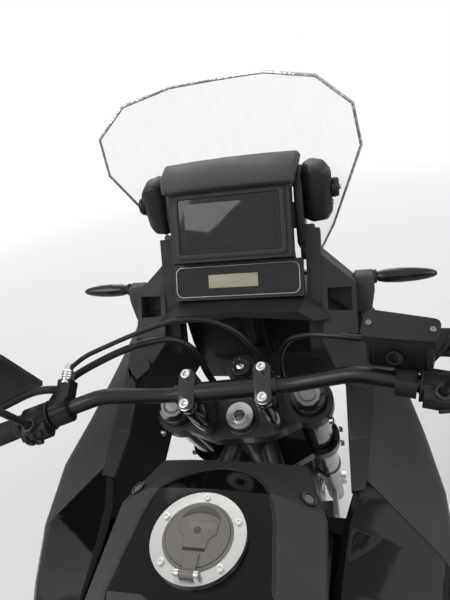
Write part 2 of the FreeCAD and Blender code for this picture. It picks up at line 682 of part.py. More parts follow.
def brake_reservoir():
    """Fluid reservoir with its neck on the right perch."""
    outline = [(80, -190), (66, -288), (0, -275), (13, -180)]
    low, high = BAR_UP + 42, BAR_UP + 74
    tub = Part.Face(rounded([(x, y, low) for x, y in outline], {0: 12, 1: 12, 2: 12, 3: 12}))
    tub = tub.extrude(Vector(0, 0, high - low))
    lid = plate_z([(83, -187), (68, -292), (-3, -278), (10, -177)], high, high + 7)
    pump = cylinder(13, 92, (38, -296, BAR_UP + 32), (0.12, 1, 0))
    neck = cylinder(10, 24, (40, -234, BAR_UP + 26), (0, 0, 1))
    return union([tub, lid, pump, neck])


controls = [union([perch(1), lever(1)]), union([perch(-1), lever(-1), brake_reservoir()])]
node("hand_controls", feature("hand_controls", Part.makeCompound(controls + switches)), STEERED)


def hand_guard(side):
    """Deflector ahead of a grip, held at the bar's end and at the inner mount."""
    end = bar_point(side * BAR_HALF[3][1])
    inner = bar_point(side * (BAR_HALF[3][1] - 82))
    outline = [(end.x - 14, end.y), (end.x + 30, end.y + side * 18), (end.x + 96, end.y - side * 36),
               (inner.x + 104, inner.y - side * 40), (inner.x + 96, inner.y - side * 42),
               (end.x + 88, end.y - side * 40), (end.x + 28, end.y + side * 10), (end.x - 6, end.y)]
    shell = plate_z(outline, end.z - 48, end.z + 58)
    boss = Part.makeCylinder(13, 14, end + bar_direction(side) * GAP, bar_direction(side))
    return union([shell, boss])


node("hand_guards", feature("hand_guards", Part.makeCompound([hand_guard(1), hand_guard(-1)])), STEERED)


def mirror_solid(side):
    """Mirror head on its bent stem, which stands on a switch housing."""
    root = bar_point(side * (SWITCH_END - 15)) + Vector(-14, 0, 16)
    points = [tuple(root), (root.x + 4, root.y + side * 10, root.z + 60),
              (root.x + 8, root.y + side * 96, root.z + 146)]
    stem_tube = tube(points, 5, 40)
    tip = Vector(*points[-1])
    head = loft([[(tip.x - 4, tip.y - side * 52, tip.z - 34), (tip.x - 4, tip.y + side * 92, tip.z - 26),
                  (tip.x - 4, tip.y + side * 86, tip.z + 44), (tip.x - 4, tip.y - side * 46, tip.z + 36)],
                 [(tip.x + 24, tip.y - side * 30, tip.z - 20), (tip.x + 24, tip.y + side * 70, tip.z - 14),
                  (tip.x + 24, tip.y + side * 66, tip.z + 30), (tip.x + 24, tip.y - side * 26, tip.z + 24)]])
    return main_piece(trimmed(union([stem_tube, head]), controls + switches))


node("mirrors", feature("mirrors", Part.makeCompound([mirror_solid(1), mirror_solid(-1)])), STEERED)

# Main frame
head_low, head_high = size("lower_clamp_top") + 6, CLAMP_LOW - 6
head_x, head_z = body_frame(0, head_low)
HEAD_DIRECTION = (-SIN, 0, COS)
head_outer = cylinder(size("head_tube_radius"), head_high - head_low, (head_x, 0, head_z), HEAD_DIRECTION)
head_bore = cylinder(size("stem_radius") + FIT, 600, (head_x + 100 * SIN, 0, head_z - 100 * COS),
                     HEAD_DIRECTION)
MAIN_TUBE, BRACE = size("frame_tube_radius"), size("brace_tube_radius")
PLATE_IN = size("plate_inner")
PLATE_MID = PLATE_IN + size("plate_thick") / 2
PIVOT_X, PIVOT_Z = size("pivot_x"), size("pivot_z")
CASE = size("case_half")
MOUNT_X, MOUNT_Z = 119, 446
REAR_MOUNTS = [(-72, 292), (-72, 464)]
TOP_RAIL = [(424, 26, 968), (180, 118, 812), (-96, PLATE_MID, 560)]
LOW_RAIL = [(448, 22, 912), (286, 108, 650), (120, 124, 560), (-100, PLATE_MID, 470)]
side_tubes = [tube(TOP_RAIL, MAIN_TUBE, 120), tube(LOW_RAIL, MAIN_TUBE, 120),
              tube([(286, 108, 650), (180, 118, 812)], BRACE), tube([(180, 118, 812), (120, 124, 560)], BRACE)]
pivot_plate = plate_y([(PIVOT_X + 70, 590), (PIVOT_X - 6, 600), (PIVOT_X - 48, 440), (PIVOT_X - 42, 310),
                       (PIVOT_X - 30, 250), (PIVOT_X + 38, 250), (PIVOT_X + 76, 310), (PIVOT_X + 76, 480)],
                      PLATE_IN, PLATE_IN + size("plate_thick"))
mount_ear = plate_y([(150, 575), (100, 578), (102, MOUNT_Z - 16), (136, MOUNT_Z - 16)], CASE + 4, CASE + 14)
side_frame = union(side_tubes + [pivot_plate, mount_ear])
CROSS_X, CROSS_Z = PIVOT_X + 16, 582
cross_top = across(13, PLATE_MID, CROSS_X, CROSS_Z)
pivot_holes = across(size("pivot_bolt_radius") + GAP / 2, 300, PIVOT_X, PIVOT_Z)
STAND_X, STAND_Z = size("stand_pivot_x"), size("stand_pivot_z")
PLATE_OUT = PLATE_IN + size("plate_thick")
stand_pin = cylinder(8, PLATE_OUT - 80, (STAND_X, 80, STAND_Z), (0, 1, 0))
main_frame = union([head_outer, side_frame, mirrored(side_frame), cross_top, stand_pin, mirrored(stand_pin)])
main_frame = main_frame.cut(head_bore).cut(pivot_holes)
node("main_frame", feature("main_frame", main_frame))

# Subframe that carries the seats and tail
RAIL = size("rail_tube_radius")
UPPER_RAIL = [(66, 92, 738), (-200, 94, 772), (-620, 100, 820), (-905, 82, 846)]
LOWER_RAIL = [(CROSS_X - 4, 92, CROSS_Z + 2), (-420, 98, 700), (-700, 98, 818)]
rails = union([tube(UPPER_RAIL, RAIL, 200), tube(LOWER_RAIL, RAIL - 1, 200),
               cylinder(10, 24, (66, 92, 736), (0, 1, 0))])
cross_rails = [across(9, 98, -420, 796), across(9, 86, -890, 844)]
subframe = union([rails, mirrored(rails)] + cross_rails).cut(main_frame)
node("subframe", feature("subframe", subframe))

# Swingarm and what is on it
ARM_IN = size("arm_inner")
ARM_OUT = ARM_IN + size("arm_thick")
BEAM_REAR = REAR_X + size("rear_tyre_radius") + size("beam_clear")
BEAM_FRONT = BEAM_REAR + size("beam_depth")
HALF_ARM = size("arm_height") / 2
BEAM_Z = PIVOT_Z + (REAR_Z - PIVOT_Z) * 0.3
forward_arm = plate_y([(PIVOT_X, PIVOT_Z + 22), (PIVOT_X, PIVOT_Z - 22), (BEAM_REAR, BEAM_Z - HALF_ARM),
                       (BEAM_REAR, BEAM_Z + HALF_ARM)], 50, size("case_half_rear"))
rear_arm = plate_y([(BEAM_FRONT, BEAM_Z + HALF_ARM), (BEAM_FRONT, BEAM_Z - HALF_ARM),
                    (REAR_X + 60, REAR_Z - HALF_ARM + 6), (REAR_X - 34, REAR_Z - 26),
                    (REAR_X - 48, REAR_Z), (REAR_X - 34, REAR_Z + 26), (REAR_X + 60, REAR_Z + HALF_ARM - 6)],
                   ARM_IN, ARM_OUT)
beam = plate_y([(BEAM_FRONT, BEAM_Z - HALF_ARM), (BEAM_FRONT, BEAM_Z + HALF_ARM),
                (BEAM_REAR, BEAM_Z + HALF_ARM - 4), (BEAM_REAR, BEAM_Z - HALF_ARM + 4)], -ARM_OUT, ARM_OUT)
pivot_tube = across(size("pivot_radius"), PLATE_IN - 2 * GAP, PIVOT_X, PIVOT_Z)
swingarm = union([pivot_tube, forward_arm, mirrored(forward_arm), rear_arm, mirrored(rear_arm), beam])
axle_holes = across(size("rear_axle_radius") + GAP / 2, 300, REAR_X, REAR_Z)
swingarm = swingarm.cut(pivot_holes).cut(axle_holes)
node("swingarm", feature("swingarm", swingarm))

HUB_END = size("rear_hub_half") + 1
collar_length = ARM_IN - GAP - HUB_END
axle_parts = [across(size("rear_axle_radius"), ARM_OUT + 14, REAR_X, REAR_Z)]
for side in (-1, 1):
    start = side * HUB_END if side > 0 else -HUB_END - collar_length
    axle_parts.append(cylinder(20, collar_length, (REAR_X, start, REAR_Z), (0, 1, 0)))
    nut_start = ARM_OUT + GAP if side > 0 else -ARM_OUT - GAP - 12
    axle_parts.append(cylinder(21, 12, (REAR_X, nut_start, REAR_Z), (0, 1, 0)))
pivot_parts = [across(size("pivot_bolt_radius"), PLATE_OUT + 10, PIVOT_X, PIVOT_Z)]
for side in (-1, 1):
    nut_start = PLATE_OUT + GAP if side > 0 else -PLATE_OUT - GAP - 9
    pivot_parts.append(cylinder(17, 9, (PIVOT_X, nut_start, PIVOT_Z), (0, 1, 0)))
rear_axles = Part.makeCompound([union(axle_parts), union(pivot_parts)])
node("rear_axles", feature("rear_axles", rear_axles))

# Chain: a loop about both sprockets
SPROCKET = Vector(size("sprocket_x"), 0, size("sprocket_z"))
REAR_CENTRE = Vector(REAR_X, 0, REAR_Z)
CHAIN_LOW = size("chain_place") - size("chain_width") / 2


CHAIN_PITCH = 15.9


def chain_line(step):
    """Points of the pitch line with their outward directions, about two to a link."""
    run = REAR_CENTRE - SPROCKET
    lean = math.atan2(run.z, run.x)
    front, rear = size("front_pitch_radius"), size("rear_pitch_radius")
    wrap = math.acos((front - rear) / run.Length)
    straight = run.Length * math.sin(wrap)
    front_arc, rear_arc = 2 * (math.pi - wrap) * front, 2 * wrap * rear
    upper, lower = lean + wrap, lean - wrap
    spots = []
    total = 2 * straight + front_arc + rear_arc
    for index in range(2 * round(total / (2 * step))):
        along = total * index / (2 * round(total / (2 * step)))
        if along < straight:
            angle, centre, radius, shift = upper, SPROCKET, front, along
        elif along < straight + rear_arc:
            angle, centre, radius, shift = upper - (along - straight) / rear, REAR_CENTRE, rear, 0
        elif along < 2 * straight + rear_arc:
            angle, centre, radius, shift = lower, REAR_CENTRE, rear, along - straight - rear_arc
        else:
            angle, centre, radius, shift = lower - (along - 2 * straight - rear_arc) / front, SPROCKET, front, 0
        out = Vector(math.cos(angle), 0, math.sin(angle))
        ahead = Vector(out.z, 0, -out.x)
        spots.append((centre + out * radius + ahead * shift, out))
    return spots


def chain_edge(offset, waist):
    """Closed outline at an offset from the pitch line, drawn in between the rollers."""
    corners = []
    for index, (spot, out) in enumerate(chain_line(CHAIN_PITCH / 2)):
        corner = spot + out * (offset if index % 2 == 0 else offset - waist)
        corners.append((corner.x, corner.z))
    return corners


HALF_CHAIN = size("chain_height") / 2
CHAIN_WAIST = 3
chain_outer = plate_y(chain_edge(HALF_CHAIN, CHAIN_WAIST), CHAIN_LOW, CHAIN_LOW + size("chain_width"))
chain_inner = plate_y(chain_edge(-HALF_CHAIN, -CHAIN_WAIST), CHAIN_LOW - 1, CHAIN_LOW + size("chain_width") + 1)
node("chain", feature("chain", chain_outer.cut(chain_inner)))

# Spring unit between the swingarm's beam and the frame's cross tube
SHOCK_FOOT = Vector((BEAM_FRONT + BEAM_REAR) / 2 + 14, 0, BEAM_Z + HALF_ARM - 2 + GAP)
SHOCK_HEAD = Vector(CROSS_X - 2, 0, CROSS_Z)
shock_run = SHOCK_HEAD - SHOCK_FOOT
coil = size("shock_radius")
shock_profile = [(0, 0), (16, 0), (16, 26), (coil, 30)]
for index in range(8):
    low = 32 + index * (shock_run.Length - 92) / 8
    shock_profile += [(coil, low), (coil, low + 9), (coil - 9, low + 13), (coil - 9, low + 17)]
shock_profile += [(coil, shock_run.Length - 58), (coil, shock_run.Length - 36), (14, shock_run.Length - 30),
                  (14, shock_run.Length), (0, shock_run.Length)]
shock_face = Part.Face(polygon([(radius, 0, up) for radius, up in shock_profile]))
shock = shock_face.revolve(Vector(), Vector(0, 0, 1), 360)
shock.Placement = Placement(SHOCK_FOOT, Rotation(Vector(0, 0, 1), shock_run))
rear_shock = shock.cut(across(13 + GAP, 200, CROSS_X, CROSS_Z)).cut(swingarm)
node("rear_shock", feature("rear_shock", rear_shock))

rear_slot_low = -size("rear_disc_place") - size("disc_thick") - 5.2
rear_slot_high = -size("rear_disc_place") + 5.2
rear_caliper_body = plate_y([(REAR_X + 12, REAR_Z + 84), (REAR_X + 86, REAR_Z + 56),
                             (REAR_X + 110, REAR_Z + 100), (REAR_X + 70, REAR_Z + 142),
                             (REAR_X + 14, REAR_Z + 148)],
                            -ARM_IN + GAP, -64)
caliper_stay = plate_y([(REAR_X + 60, REAR_Z + 4), (REAR_X + 96, REAR_Z + 4), (REAR_X + 96, REAR_Z + 90),
                        (REAR_X + 60, REAR_Z + 90)], -ARM_IN + GAP, rear_slot_low - 0.2)
rear_slot = turned([(rear_slot_low, 20), (rear_slot_high, 20), (rear_slot_high, size("rear_disc_radius") + 8),
                    (rear_slot_low, size("rear_disc_radius") + 8)])
rear_slot.translate(REAR_CENTRE)
rear_caliper = union([rear_caliper_body, caliper_stay]).cut(rear_slot)
node("rear_caliper", feature("rear_caliper", rear_caliper))

# Engine: case, two cylinders in a vee, side covers
CRANK = Vector(size("crank_x"), 0, size("crank_z"))
case_outline = [(-97, 300), (-66, 236), (20, 202), (230, 202), (296, 250), (300, 360), (262, 425), (150, 470),
                (40, 482), (-60, 488), (-96, 476)]
case = plate_y(case_outline, -CASE, CASE)
chain_room = Part.makeBox(110, 60, 400, Vector(-108, size("case_half_rear"), 150))
case = case.cut(chain_room)


def cylinder_block(tilt):
    """Cylinder, head and cam cover along a tilted axis from the crank."""
    half_wide, half_deep = size("cylinder_width") / 2, size("cylinder_depth") / 2
    start = size("cylinder_start")
    head = start + size("cylinder_length")
    cover = head + size("head_length")
    top = cover + size("cam_cover_length")
    barrel = Part.makeBox(2 * half_deep - 12, 2 * half_wide - 8, head - start,
                          Vector(-half_deep + 6, -half_wide + 4, start))
    ribs = [Part.makeBox(2 * half_deep - 2, 2 * half_wide, 5,
                         Vector(-half_deep + 1, -half_wide, head - 14 - 16 * row)) for row in range(4)]
    head_block = Part.makeBox(2 * half_deep + 6, 2 * half_wide + 8, cover - head,
                              Vector(-half_deep - 3, -half_wide - 4, head))
    cam = plate_y([(-half_deep + 2, cover), (half_deep - 2, cover), (half_deep - 14, top),
                   (-half_deep + 14, top)], -half_wide, half_wide)
    solid = union([barrel, head_block, cam] + ribs)
    solid.rotate(Vector(), Vector(0, 1, 0), tilt)
    solid.translate(CRANK)
    return solid


def side_cover(radius, x, z, side, reach):
    """Round side cover with a stepped rim."""
    low = CASE
    profile = [(low - 4, 0), (low - 4, radius), (low + 8, radius), (low + reach - 6, radius - 14),
               (low + reach, radius - 26), (low + reach, 0)]
    cover = turned(profile)
    if side < 0:
        cover = mirrored(cover)
    cover.translate(Vector(x, 0, z))
    return cover


bosses = []
for side in (-1, 1):
    reach = CASE + 4 - GAP
    start = CASE - 6 if side > 0 else -reach
    bosses.append(cylinder(13, reach - CASE + 6, (MOUNT_X, start, MOUNT_Z), (0, 1, 0)))
    for x, z in REAR_MOUNTS:
        inner = size("case_half_rear") - 8
        start = inner if side > 0 else -(PLATE_IN - GAP)
        bosses.append(cylinder(10, PLATE_IN - GAP - inner, (x, start, z), (0, 1, 0)))
sprocket_boss = cylinder(size("front_pitch_radius") - HALF_CHAIN - GAP, size("chain_width"),
                         (SPROCKET.x, CHAIN_LOW, SPROCKET.z), (0, 1, 0))
sprocket_shaft = cylinder(18, 16, (SPROCKET.x, size("case_half_rear") - 6, SPROCKET.z), (0, 1, 0))
SIDE_X, SIDE_Y, SIDE_Z = size("side_pivot_x"), size("side_pivot_y"), size("side_pivot_z")
side_boss = cylinder(17, SIDE_Y - 11.5 - CASE + 4, (SIDE_X, CASE - 4, SIDE_Z), (0, 1, 0))
side_pin = cylinder(7, 49, (SIDE_X, SIDE_Y - 26, SIDE_Z), (0, 1, 0))
side_pin_head = cylinder(12, 7, (SIDE_X, SIDE_Y + 15.5, SIDE_Z), (0, 1, 0))
engine = union([case, side_boss, side_pin, side_pin_head,
                cylinder_block(size("cylinder_tilt_front")), cylinder_block(-size("cylinder_tilt_rear")),
                side_cover(size("cover_radius"), size("crank_x") + 20, size("crank_z"), 1, size("cover_depth")),
                side_cover(size("clutch_radius"), size("crank_x") - 50, size("crank_z") + 10, -1,
                           size("cover_depth") + 6),
                sprocket_boss, sprocket_shaft] + bosses)
engine = engine.cut(main_frame)
node("engine", feature("engine", engine))

# Radiators, either side behind the fork legs
radiator_core = Part.makeBox(30, 124, 230, Vector(-134, 104, 700))
side_tanks = [Part.makeBox(36, 16, 236, Vector(-137, y, 697)) for y in (100, 216)]
grooves = [Part.makeBox(6, 98, 5, Vector(-108, 117, 712 + 13 * k)) for k in range(16)]
radiator = union([radiator_core] + side_tanks).cut(Part.makeCompound(grooves))
radiator.Placement = STRAIGHT
stay_end = body_frame(-136, 850)
radiator_stay = tube([(stay_end[0] + 6, 110, stay_end[1]), (312, 98, 702)], 6)
radiator = union([radiator, radiator_stay]).cut(main_frame)
node("radiators", feature("radiators", both_sides(radiator)))

# Exhaust: two headers to one silencer on the right
front_header = tube([(364, 0, 448), (398, -14, 404), (392, -70, 340), (346, -128, 262), (240, -134, 226),
                     (40, -142, 222), (-62, -172, 256), (-160, -186, 350), (-262, -196, 452)], 21, 60)
rear_header = tube([(0, -60, 578), (-12, -150, 580), (-70, -184, 530), (-176, -190, 430),
                    (-200, -192, 404)], 19, 50)
SILENCER_RUN = Vector(-0.93, -0.05, 0.36).normalize()
SILENCER_START = Vector(-258, -196, 448)
silencer_profile = [(0, 0), (24, 0), (58, 60), (60, 70), (60, 390), (52, 404), (52, 420), (22, 420),
                    (22, 400), (0, 400)]
silencer_face = Part.Face(polygon([(radius, 0, up) for radius, up in silencer_profile]))
silencer = silencer_face.revolve(Vector(), Vector(0, 0, 1), 360)
silencer.Placement = Placement(SILENCER_START, Rotation(Vector(0, 0, 1), SILENCER_RUN))
HANGER_IN = 98 + RAIL + 7 + GAP
silencer_hanger = Part.makeBox(24, 178 - HANGER_IN, 10, Vector(-404, -178, 546))
exhaust = union([front_header, rear_header, silencer, silencer_hanger]).cut(engine)
node("exhaust", feature("exhaust", exhaust))

# Skid plate under the engine
skid_outline = [(-66, 156), (296, 156), (380, 218), (408, 300), (414, 298), (387, 213), (300, 150), (-66, 150)]
skid = plate_y(skid_outline, -88, 88)
skid_sides = [plate_y([(-60, 152), (296, 152), (380, 214), (352, 236), (286, 190), (-40, 190)], low, low + 4)
              for low in (-92, 88)]
skid_posts = [cylinder(9, 202 - 154 - GAP, (x, y, 154), (0, 0, 1)) for x in (40, 216) for y in (-60, 60)]
skid_plate = union([skid] + skid_sides + skid_posts)
node("skid_plate", feature("skid_plate", skid_plate))

# Fuel tank and its cover
tank = stations([
    (222, symmetric([(0, 1039), (120, 1036), (205, 1000), (222, 930), (214, 760), (152, 750), (146, 866),
                     (0, 872)])),
    (120, symmetric([(0, 1040), (120, 1036), (232, 985), (236, 900), (205, 752), (152, 745), (142, 845),
                     (0, 850)])),
    (20, symmetric([(0, 1035), (105, 1030), (196, 960), (200, 890), (180, 800), (152, 790), (140, 830),
                    (0, 835)])),
    (-50, symmetric([(0, 985), (80, 980), (132, 930), (138, 890), (134, 872), (122, 866), (100, 862),
                     (0, 862)]))],
    both_corners(14, {1: 70, 2: 60, 3: 50}))
CAP_X, CAP_Z = size("cap_x"), size("cap_z")
filler = cylinder(size("filler_radius"), 200, (CAP_X, 0, 1040 - size("filler_depth")), (0, 0, 1))
fuel_tank = union([tank]).cut(filler).cut(main_frame).cut(subframe)
node("fuel_tank", feature("fuel_tank", fuel_tank))

cover_lip = stations([
    (308, symmetric([(0, 1045), (60, 1044), (106, 1040), (106, 1035), (0, 1035)])),
    (222.3, symmetric([(0, CAP_Z), (80, 1094), (134, 1058), (134, 992), (0, 992)]))],
    both_corners(8, {1: 26, 2: 12}))
cover_back = stations([
    (222.3, symmetric([(0, CAP_Z), (80, 1094), (134, 1058), (134, 1032), (120, 1036.3), (0, 1039.3)])),
    (95, symmetric([(0, CAP_Z), (90, 1095), (136, 1046), (136, 1031), (120, 1036.4), (0, 1040.4)])),
    (-50, symmetric([(0, 1024), (70, 1018), (104, 975), (104, 962), (80, 980.5), (0, 985.5)]))],
    both_corners(10, {1: 26, 2: 12}))
tank_cover = union([cover_lip, cover_back]).cut(tank).cut(filler)
node("tank_cover", feature("tank_cover", tank_cover))

# Fuel cap: ring with hinge ears, and the lid that swings on it
ring_disc = rod("ring_disc", "cap_radius", "cap_thick", ("cap_x", "0", "cap_z + seat_gap"))
ring_recess = rod("ring_recess", "lid_radius + 2", "cap_thick", ("cap_x", "0", "cap_z + seat_gap + 2.5"))
ring_mouth = rod("ring_mouth", "filler_radius", "3 * cap_thick", ("cap_x", "0", "cap_z - cap_thick"))
ring_body = without("ring_body", without("ring_seat", ring_disc, ring_recess), ring_mouth)
ear_parts = []
for side in ("left", "right"):
    low = "8" if side == "left" else "-13"
    ear_parts.append(block("ear_" + side, ("8", "5", "5.5"),
                           ("cap_x - cap_radius + 6", low, "cap_z + cap_thick - 0.5")))
    ear_parts.append(rod("ear_eye_" + side, "hinge_radius", "5",
                         ("cap_x - cap_radius + 10", low, "cap_z + cap_thick + 5"), ALONG_Y))
ear_parts.append(rod("hinge_pin", "hinge_radius - 2", "24",
                     ("cap_x - cap_radius + 10", "-12", "cap_z + cap_thick + 5"), ALONG_Y))
node("cap_ring", fused("cap_ring", [ring_body] + ear_parts))
lid_disc = rod("lid_disc", "lid_radius", "lid_thick", ("cap_x", "0", "cap_z + seat_gap + 2.8"))
lid_arm = block("lid_arm", ("20", "15", "2.6"), ("cap_x - cap_radius + 12", "-7.5", "cap_z + cap_thick + 1.2"))
lid_knuckle = rod("lid_knuckle", "hinge_radius", "15", ("cap_x - cap_radius + 10", "-7.5",
                                                        "cap_z + cap_thick + 5"), ALONG_Y)
lid_solid = fused("lid_solid", [lid_disc, lid_arm, lid_knuckle])
lid_bore = rod("lid_bore", "hinge_radius - 2 + pin_gap", "30",
               ("cap_x - cap_radius + 10", "-15", "cap_z + cap_thick + 5"), ALONG_Y)
node("fuel_lid", without("fuel_lid", lid_solid, lid_bore))

# Side cowls from the nose to behind the tank
COWL = [
    (640, [(150, 1150), (185, 1120), (190, 1040), (150, 960)]),
    (560, [(185, 1150), (212, 1130), (222, 1060), (185, 930)]),
    (470, [(195, 1120), (238, 1085), (246, 1010), (205, 860)]),
    (380, [(190, 1085), (265, 1050), (271, 960), (222, 800)]),
    (300, [(185, 1068), (279, 1035), (283, 950), (240, 766)]),
    (220, [(160, 1048), (285, 1000), (281, 920), (240, 744)]),
    (150, [(150, 1042), (268, 975), (264, 900), (236, 742)]),
    (80, [(146, 1032), (240, 955), (236, 890), (212, 770)]),
]


def cowl_section(outer, wall):
    """Outer line and the same line moved inwards, as one outline."""
    inner = [(y - wall, z - wall * 0.7) for y, z in outer[:-1]] + [(outer[-1][0] - wall, outer[-1][1])]
    return outer + inner[::-1]


cowl = stations([(x, cowl_section(outer, 9)) for x, outer in COWL], {1: 44, 2: 60, 5: 52, 6: 36})
cowl = cowl.cut(tank).cut(tank_cover)
node("side_cowls", feature("side_cowls", both_sides(cowl)))

# Screen and its adjuster brackets
SCREEN = [(722, 1128, 96, 24), (690, 1250, 150, 44), (644, 1395, 196, 66), (622, 1455, 186, 60),
          (606, 1494, 140, 34), (600, 1507, 70, 10)]


def screen_section(row):
    """Curved strip across the machine at one height."""
    x, z, half, sweep = row
    wires = []
    for shift in (0, -4):
        wires.append(Part.Arc(Vector(x - sweep + shift, -half, z), Vector(x + shift, 0, z),
                              Vector(x - sweep + shift, half, z)).toShape())
    front, back = wires
    ends = [Part.LineSegment(Vector(x - sweep, half, z), Vector(x - sweep - 4, half, z)).toShape(),
            Part.LineSegment(Vector(x - sweep - 4, -half, z), Vector(x - sweep, -half, z)).toShape()]
    return Part.Wire(Part.__sortEdges__([front, ends[0], back, ends[1]]))


windscreen = Part.makeLoft([screen_section(row) for row in SCREEN], True, True)
node("windscreen", feature("windscreen", windscreen))

# Nose, lamps and beak
nose = stations([
    (641, symmetric([(0, 1165), (110, 1162), (148, 1140), (156, 1060), (110, 962), (0, 955)])),
    (720, symmetric([(0, 1130), (92, 1124), (128, 1096), (132, 1040), (92, 962), (0, 950)])),
    (792, symmetric([(0, 1070), (54, 1066), (82, 1050), (84, 1010), (58, 968), (0, 958)]))],
    both_corners(10, {1: 30, 2: 24, 3: 24, 4: 24}))
lamp_rooms = [Part.makeBox(60, 52, 66, Vector(752, y, 982)) for y in (12, -64)]
nose = nose.cut(Part.makeCompound(lamp_rooms))
beak = stations([
    (700, symmetric([(0, 957), (78, 954), (78, 938), (0, 940)])),
    (820, symmetric([(0, 950), (62, 946), (62, 934), (0, 936)])),
    (950, symmetric([(0, 910), (20, 908), (20, 900), (0, 902)]))])
nose = main_piece(union([nose, beak]).cut(windscreen))
node("nose_cowl", feature("nose_cowl", nose))
lamp = Part.makeBox(30, 52 - 2 * GAP, 66 - 2 * GAP, Vector(752 + GAP, 12 + GAP, 982 + GAP))
lamp = lamp.common(stations([
    (641, symmetric([(0, 1165), (110, 1162), (148, 1140), (156, 1060), (110, 962), (0, 955)])),
    (800, symmetric([(0, 1066), (54, 1062), (80, 1046), (82, 1010), (56, 968), (0, 958)]))]))

# Display, lower display and the panels about them
DISPLAY_TURN = Rotation(Vector(0, 1, 0), size("display_tilt"))
DISPLAY = Placement(Vector(size("display_x"), 0, size("display_z")), DISPLAY_TURN)
half_wide, half_high = size("display_width") / 2, size("display_height") / 2
case_back = Part.makeBox(40, 2 * half_wide + 30, 2 * half_high + 26,
                         Vector(1, -half_wide - 15, -half_high - 13))
glass_seat = Part.makeBox(6, 2 * half_wide + 2 * GAP, 2 * half_high + 2 * GAP,
                          Vector(-2, -half_wide - GAP, -half_high - GAP))
meter = case_back.cut(glass_seat)
meter.Placement = DISPLAY
LOWER = Placement(Vector(size("lower_display_x"), 0, size("lower_display_z")),
                  Rotation(Vector(0, 1, 0), size("lower_display_tilt")))
low_wide, low_high = size("lower_display_width") / 2, size("lower_display_height") / 2
glass = Part.makeBox(3.4, 2 * half_wide, 2 * half_high, Vector(0.3, -half_wide, -half_high))
glass.Placement = DISPLAY
low_glass = Part.makeBox(3, 2 * low_wide, 2 * low_high, Vector(0.3, -low_wide, -low_high))
low_glass.Placement = LOWER
node("display_glass", feature("display_glass", Part.makeCompound([glass, low_glass])))

# Stay from the steering head to the display and nose
stay_start = body_frame(29, 1050)
stay_top = body_frame(29, 1080)
front_stay = plate_y([stay_start, stay_top, (584, 1036), (566, 1120), (548, 1236), (536, 1272), (560, 1322),
                      (592, 1318), (606, 1290), (600, 1110), (641 - GAP, 1080), (641 - GAP, 1012)], -17, 17)
low_housing = Part.makeBox(22, 2 * low_wide + 14, 2 * low_high + 14, Vector(1, -low_wide - 7, -low_high - 7))
low_housing = low_housing.cut(Part.makeBox(4, 2 * low_wide + 2 * GAP, 2 * low_high + 2 * GAP,
                                           Vector(-0.2, -low_wide - GAP, -low_high - GAP)))
low_housing.Placement = LOWER
front_stay = front_stay.cut(main_frame).cut(meter)
dash_shelf = stations([
    (468, symmetric([(0, 1193), (96, 1189), (118, 1172), (0, 1183)])),
    (492, symmetric([(0, 1196), (104, 1192), (150, 1160), (0, 1186)])),
    (560, symmetric([(0, 1196), (104, 1192), (184, 1152), (0, 1186)]))])
flank = plate_y([(556, 1284), (576, 1268), (510, 1104), (476, 1104), (476, 1116)], 108, 131)
flank_box = loft([[(542, 130, 1246), (500, 130, 1176), (470, 130, 1144), (470, 130, 1120), (560, 130, 1120),
                   (600, 130, 1190), (586, 130, 1236)],
                  [(520, 181, 1204), (496, 181, 1170), (470, 181, 1146), (470, 181, 1122), (560, 181, 1122),
                   (590, 181, 1160), (570, 181, 1190)]])
flank_groove = plate_y([(548, 1200), (500, 1200), (494, 1158), (520, 1146)], 138, 174)
inner_panel = stations([
    (472, [(123, 1144), (196, 1126), (196, 1120), (123, 1138)]),
    (400, [(123, 1110), (193, 1096), (193, 1090), (123, 1104)]),
    (330, [(124, 1070), (188, 1076), (188, 1070), (124, 1064)]),
    (262, [(138, 1056), (180, 1060), (180, 1054), (138, 1050)])])
SOCKET = Vector(418, 152, 1096)
SOCKET_UP = Vector(-0.447, 0.1, 0.894).normalize()
socket = cylinder(22, 24, tuple(SOCKET), tuple(SOCKET_UP))
socket_recess = cylinder(17, 6, tuple(SOCKET + SOCKET_UP * 20), tuple(SOCKET_UP))
socket = union([socket.cut(socket_recess), cylinder(13, 22, tuple(SOCKET), tuple(SOCKET_UP))])
dash_side = union([flank, flank_box.cut(flank_groove), inner_panel])
dash = union([low_housing, dash_shelf, dash_side, mirrored(dash_side), socket])
dash = dash.cut(front_stay).cut(meter).cut(cowl).cut(mirrored(cowl)).cut(nose).cut(tank_cover).cut(tank)
dash = main_piece(dash)
node("dash_panels", feature("dash_panels", Part.makeCompound([dash, meter])))

bracket_arm = plate_y([(548, 1262), (572, 1240), (606, 1300), (640, 1330), (612, 1394), (584, 1398),
                       (556, 1330)], 97, 111)
slider = loft([[(576, 111, 1392), (606, 111, 1398), (626, 111, 1350), (604, 111, 1318), (580, 111, 1340)],
               [(568, 140, 1398), (600, 140, 1404), (622, 140, 1354), (600, 140, 1310), (570, 140, 1338)],
               [(572, 152, 1390), (594, 152, 1394), (612, 152, 1356), (596, 152, 1322), (576, 152, 1344)]])
knob = cylinder(15, 12, (592, 150, 1360), (0, 1, 0))
screen_foot = tube([(610, 128, 1350), (655, 128, 1352)], 7)
case_lug = Part.makeBox(20, 10, 40, Vector(556, 90, 1286))
bracket = trimmed(union([bracket_arm, slider, knob, screen_foot, case_lug]), [windscreen, meter, dash])
bracket = main_piece(bracket)
node("cockpit_brackets", feature("cockpit_brackets",
                                 Part.makeCompound([front_stay, bracket, mirrored(bracket)])))


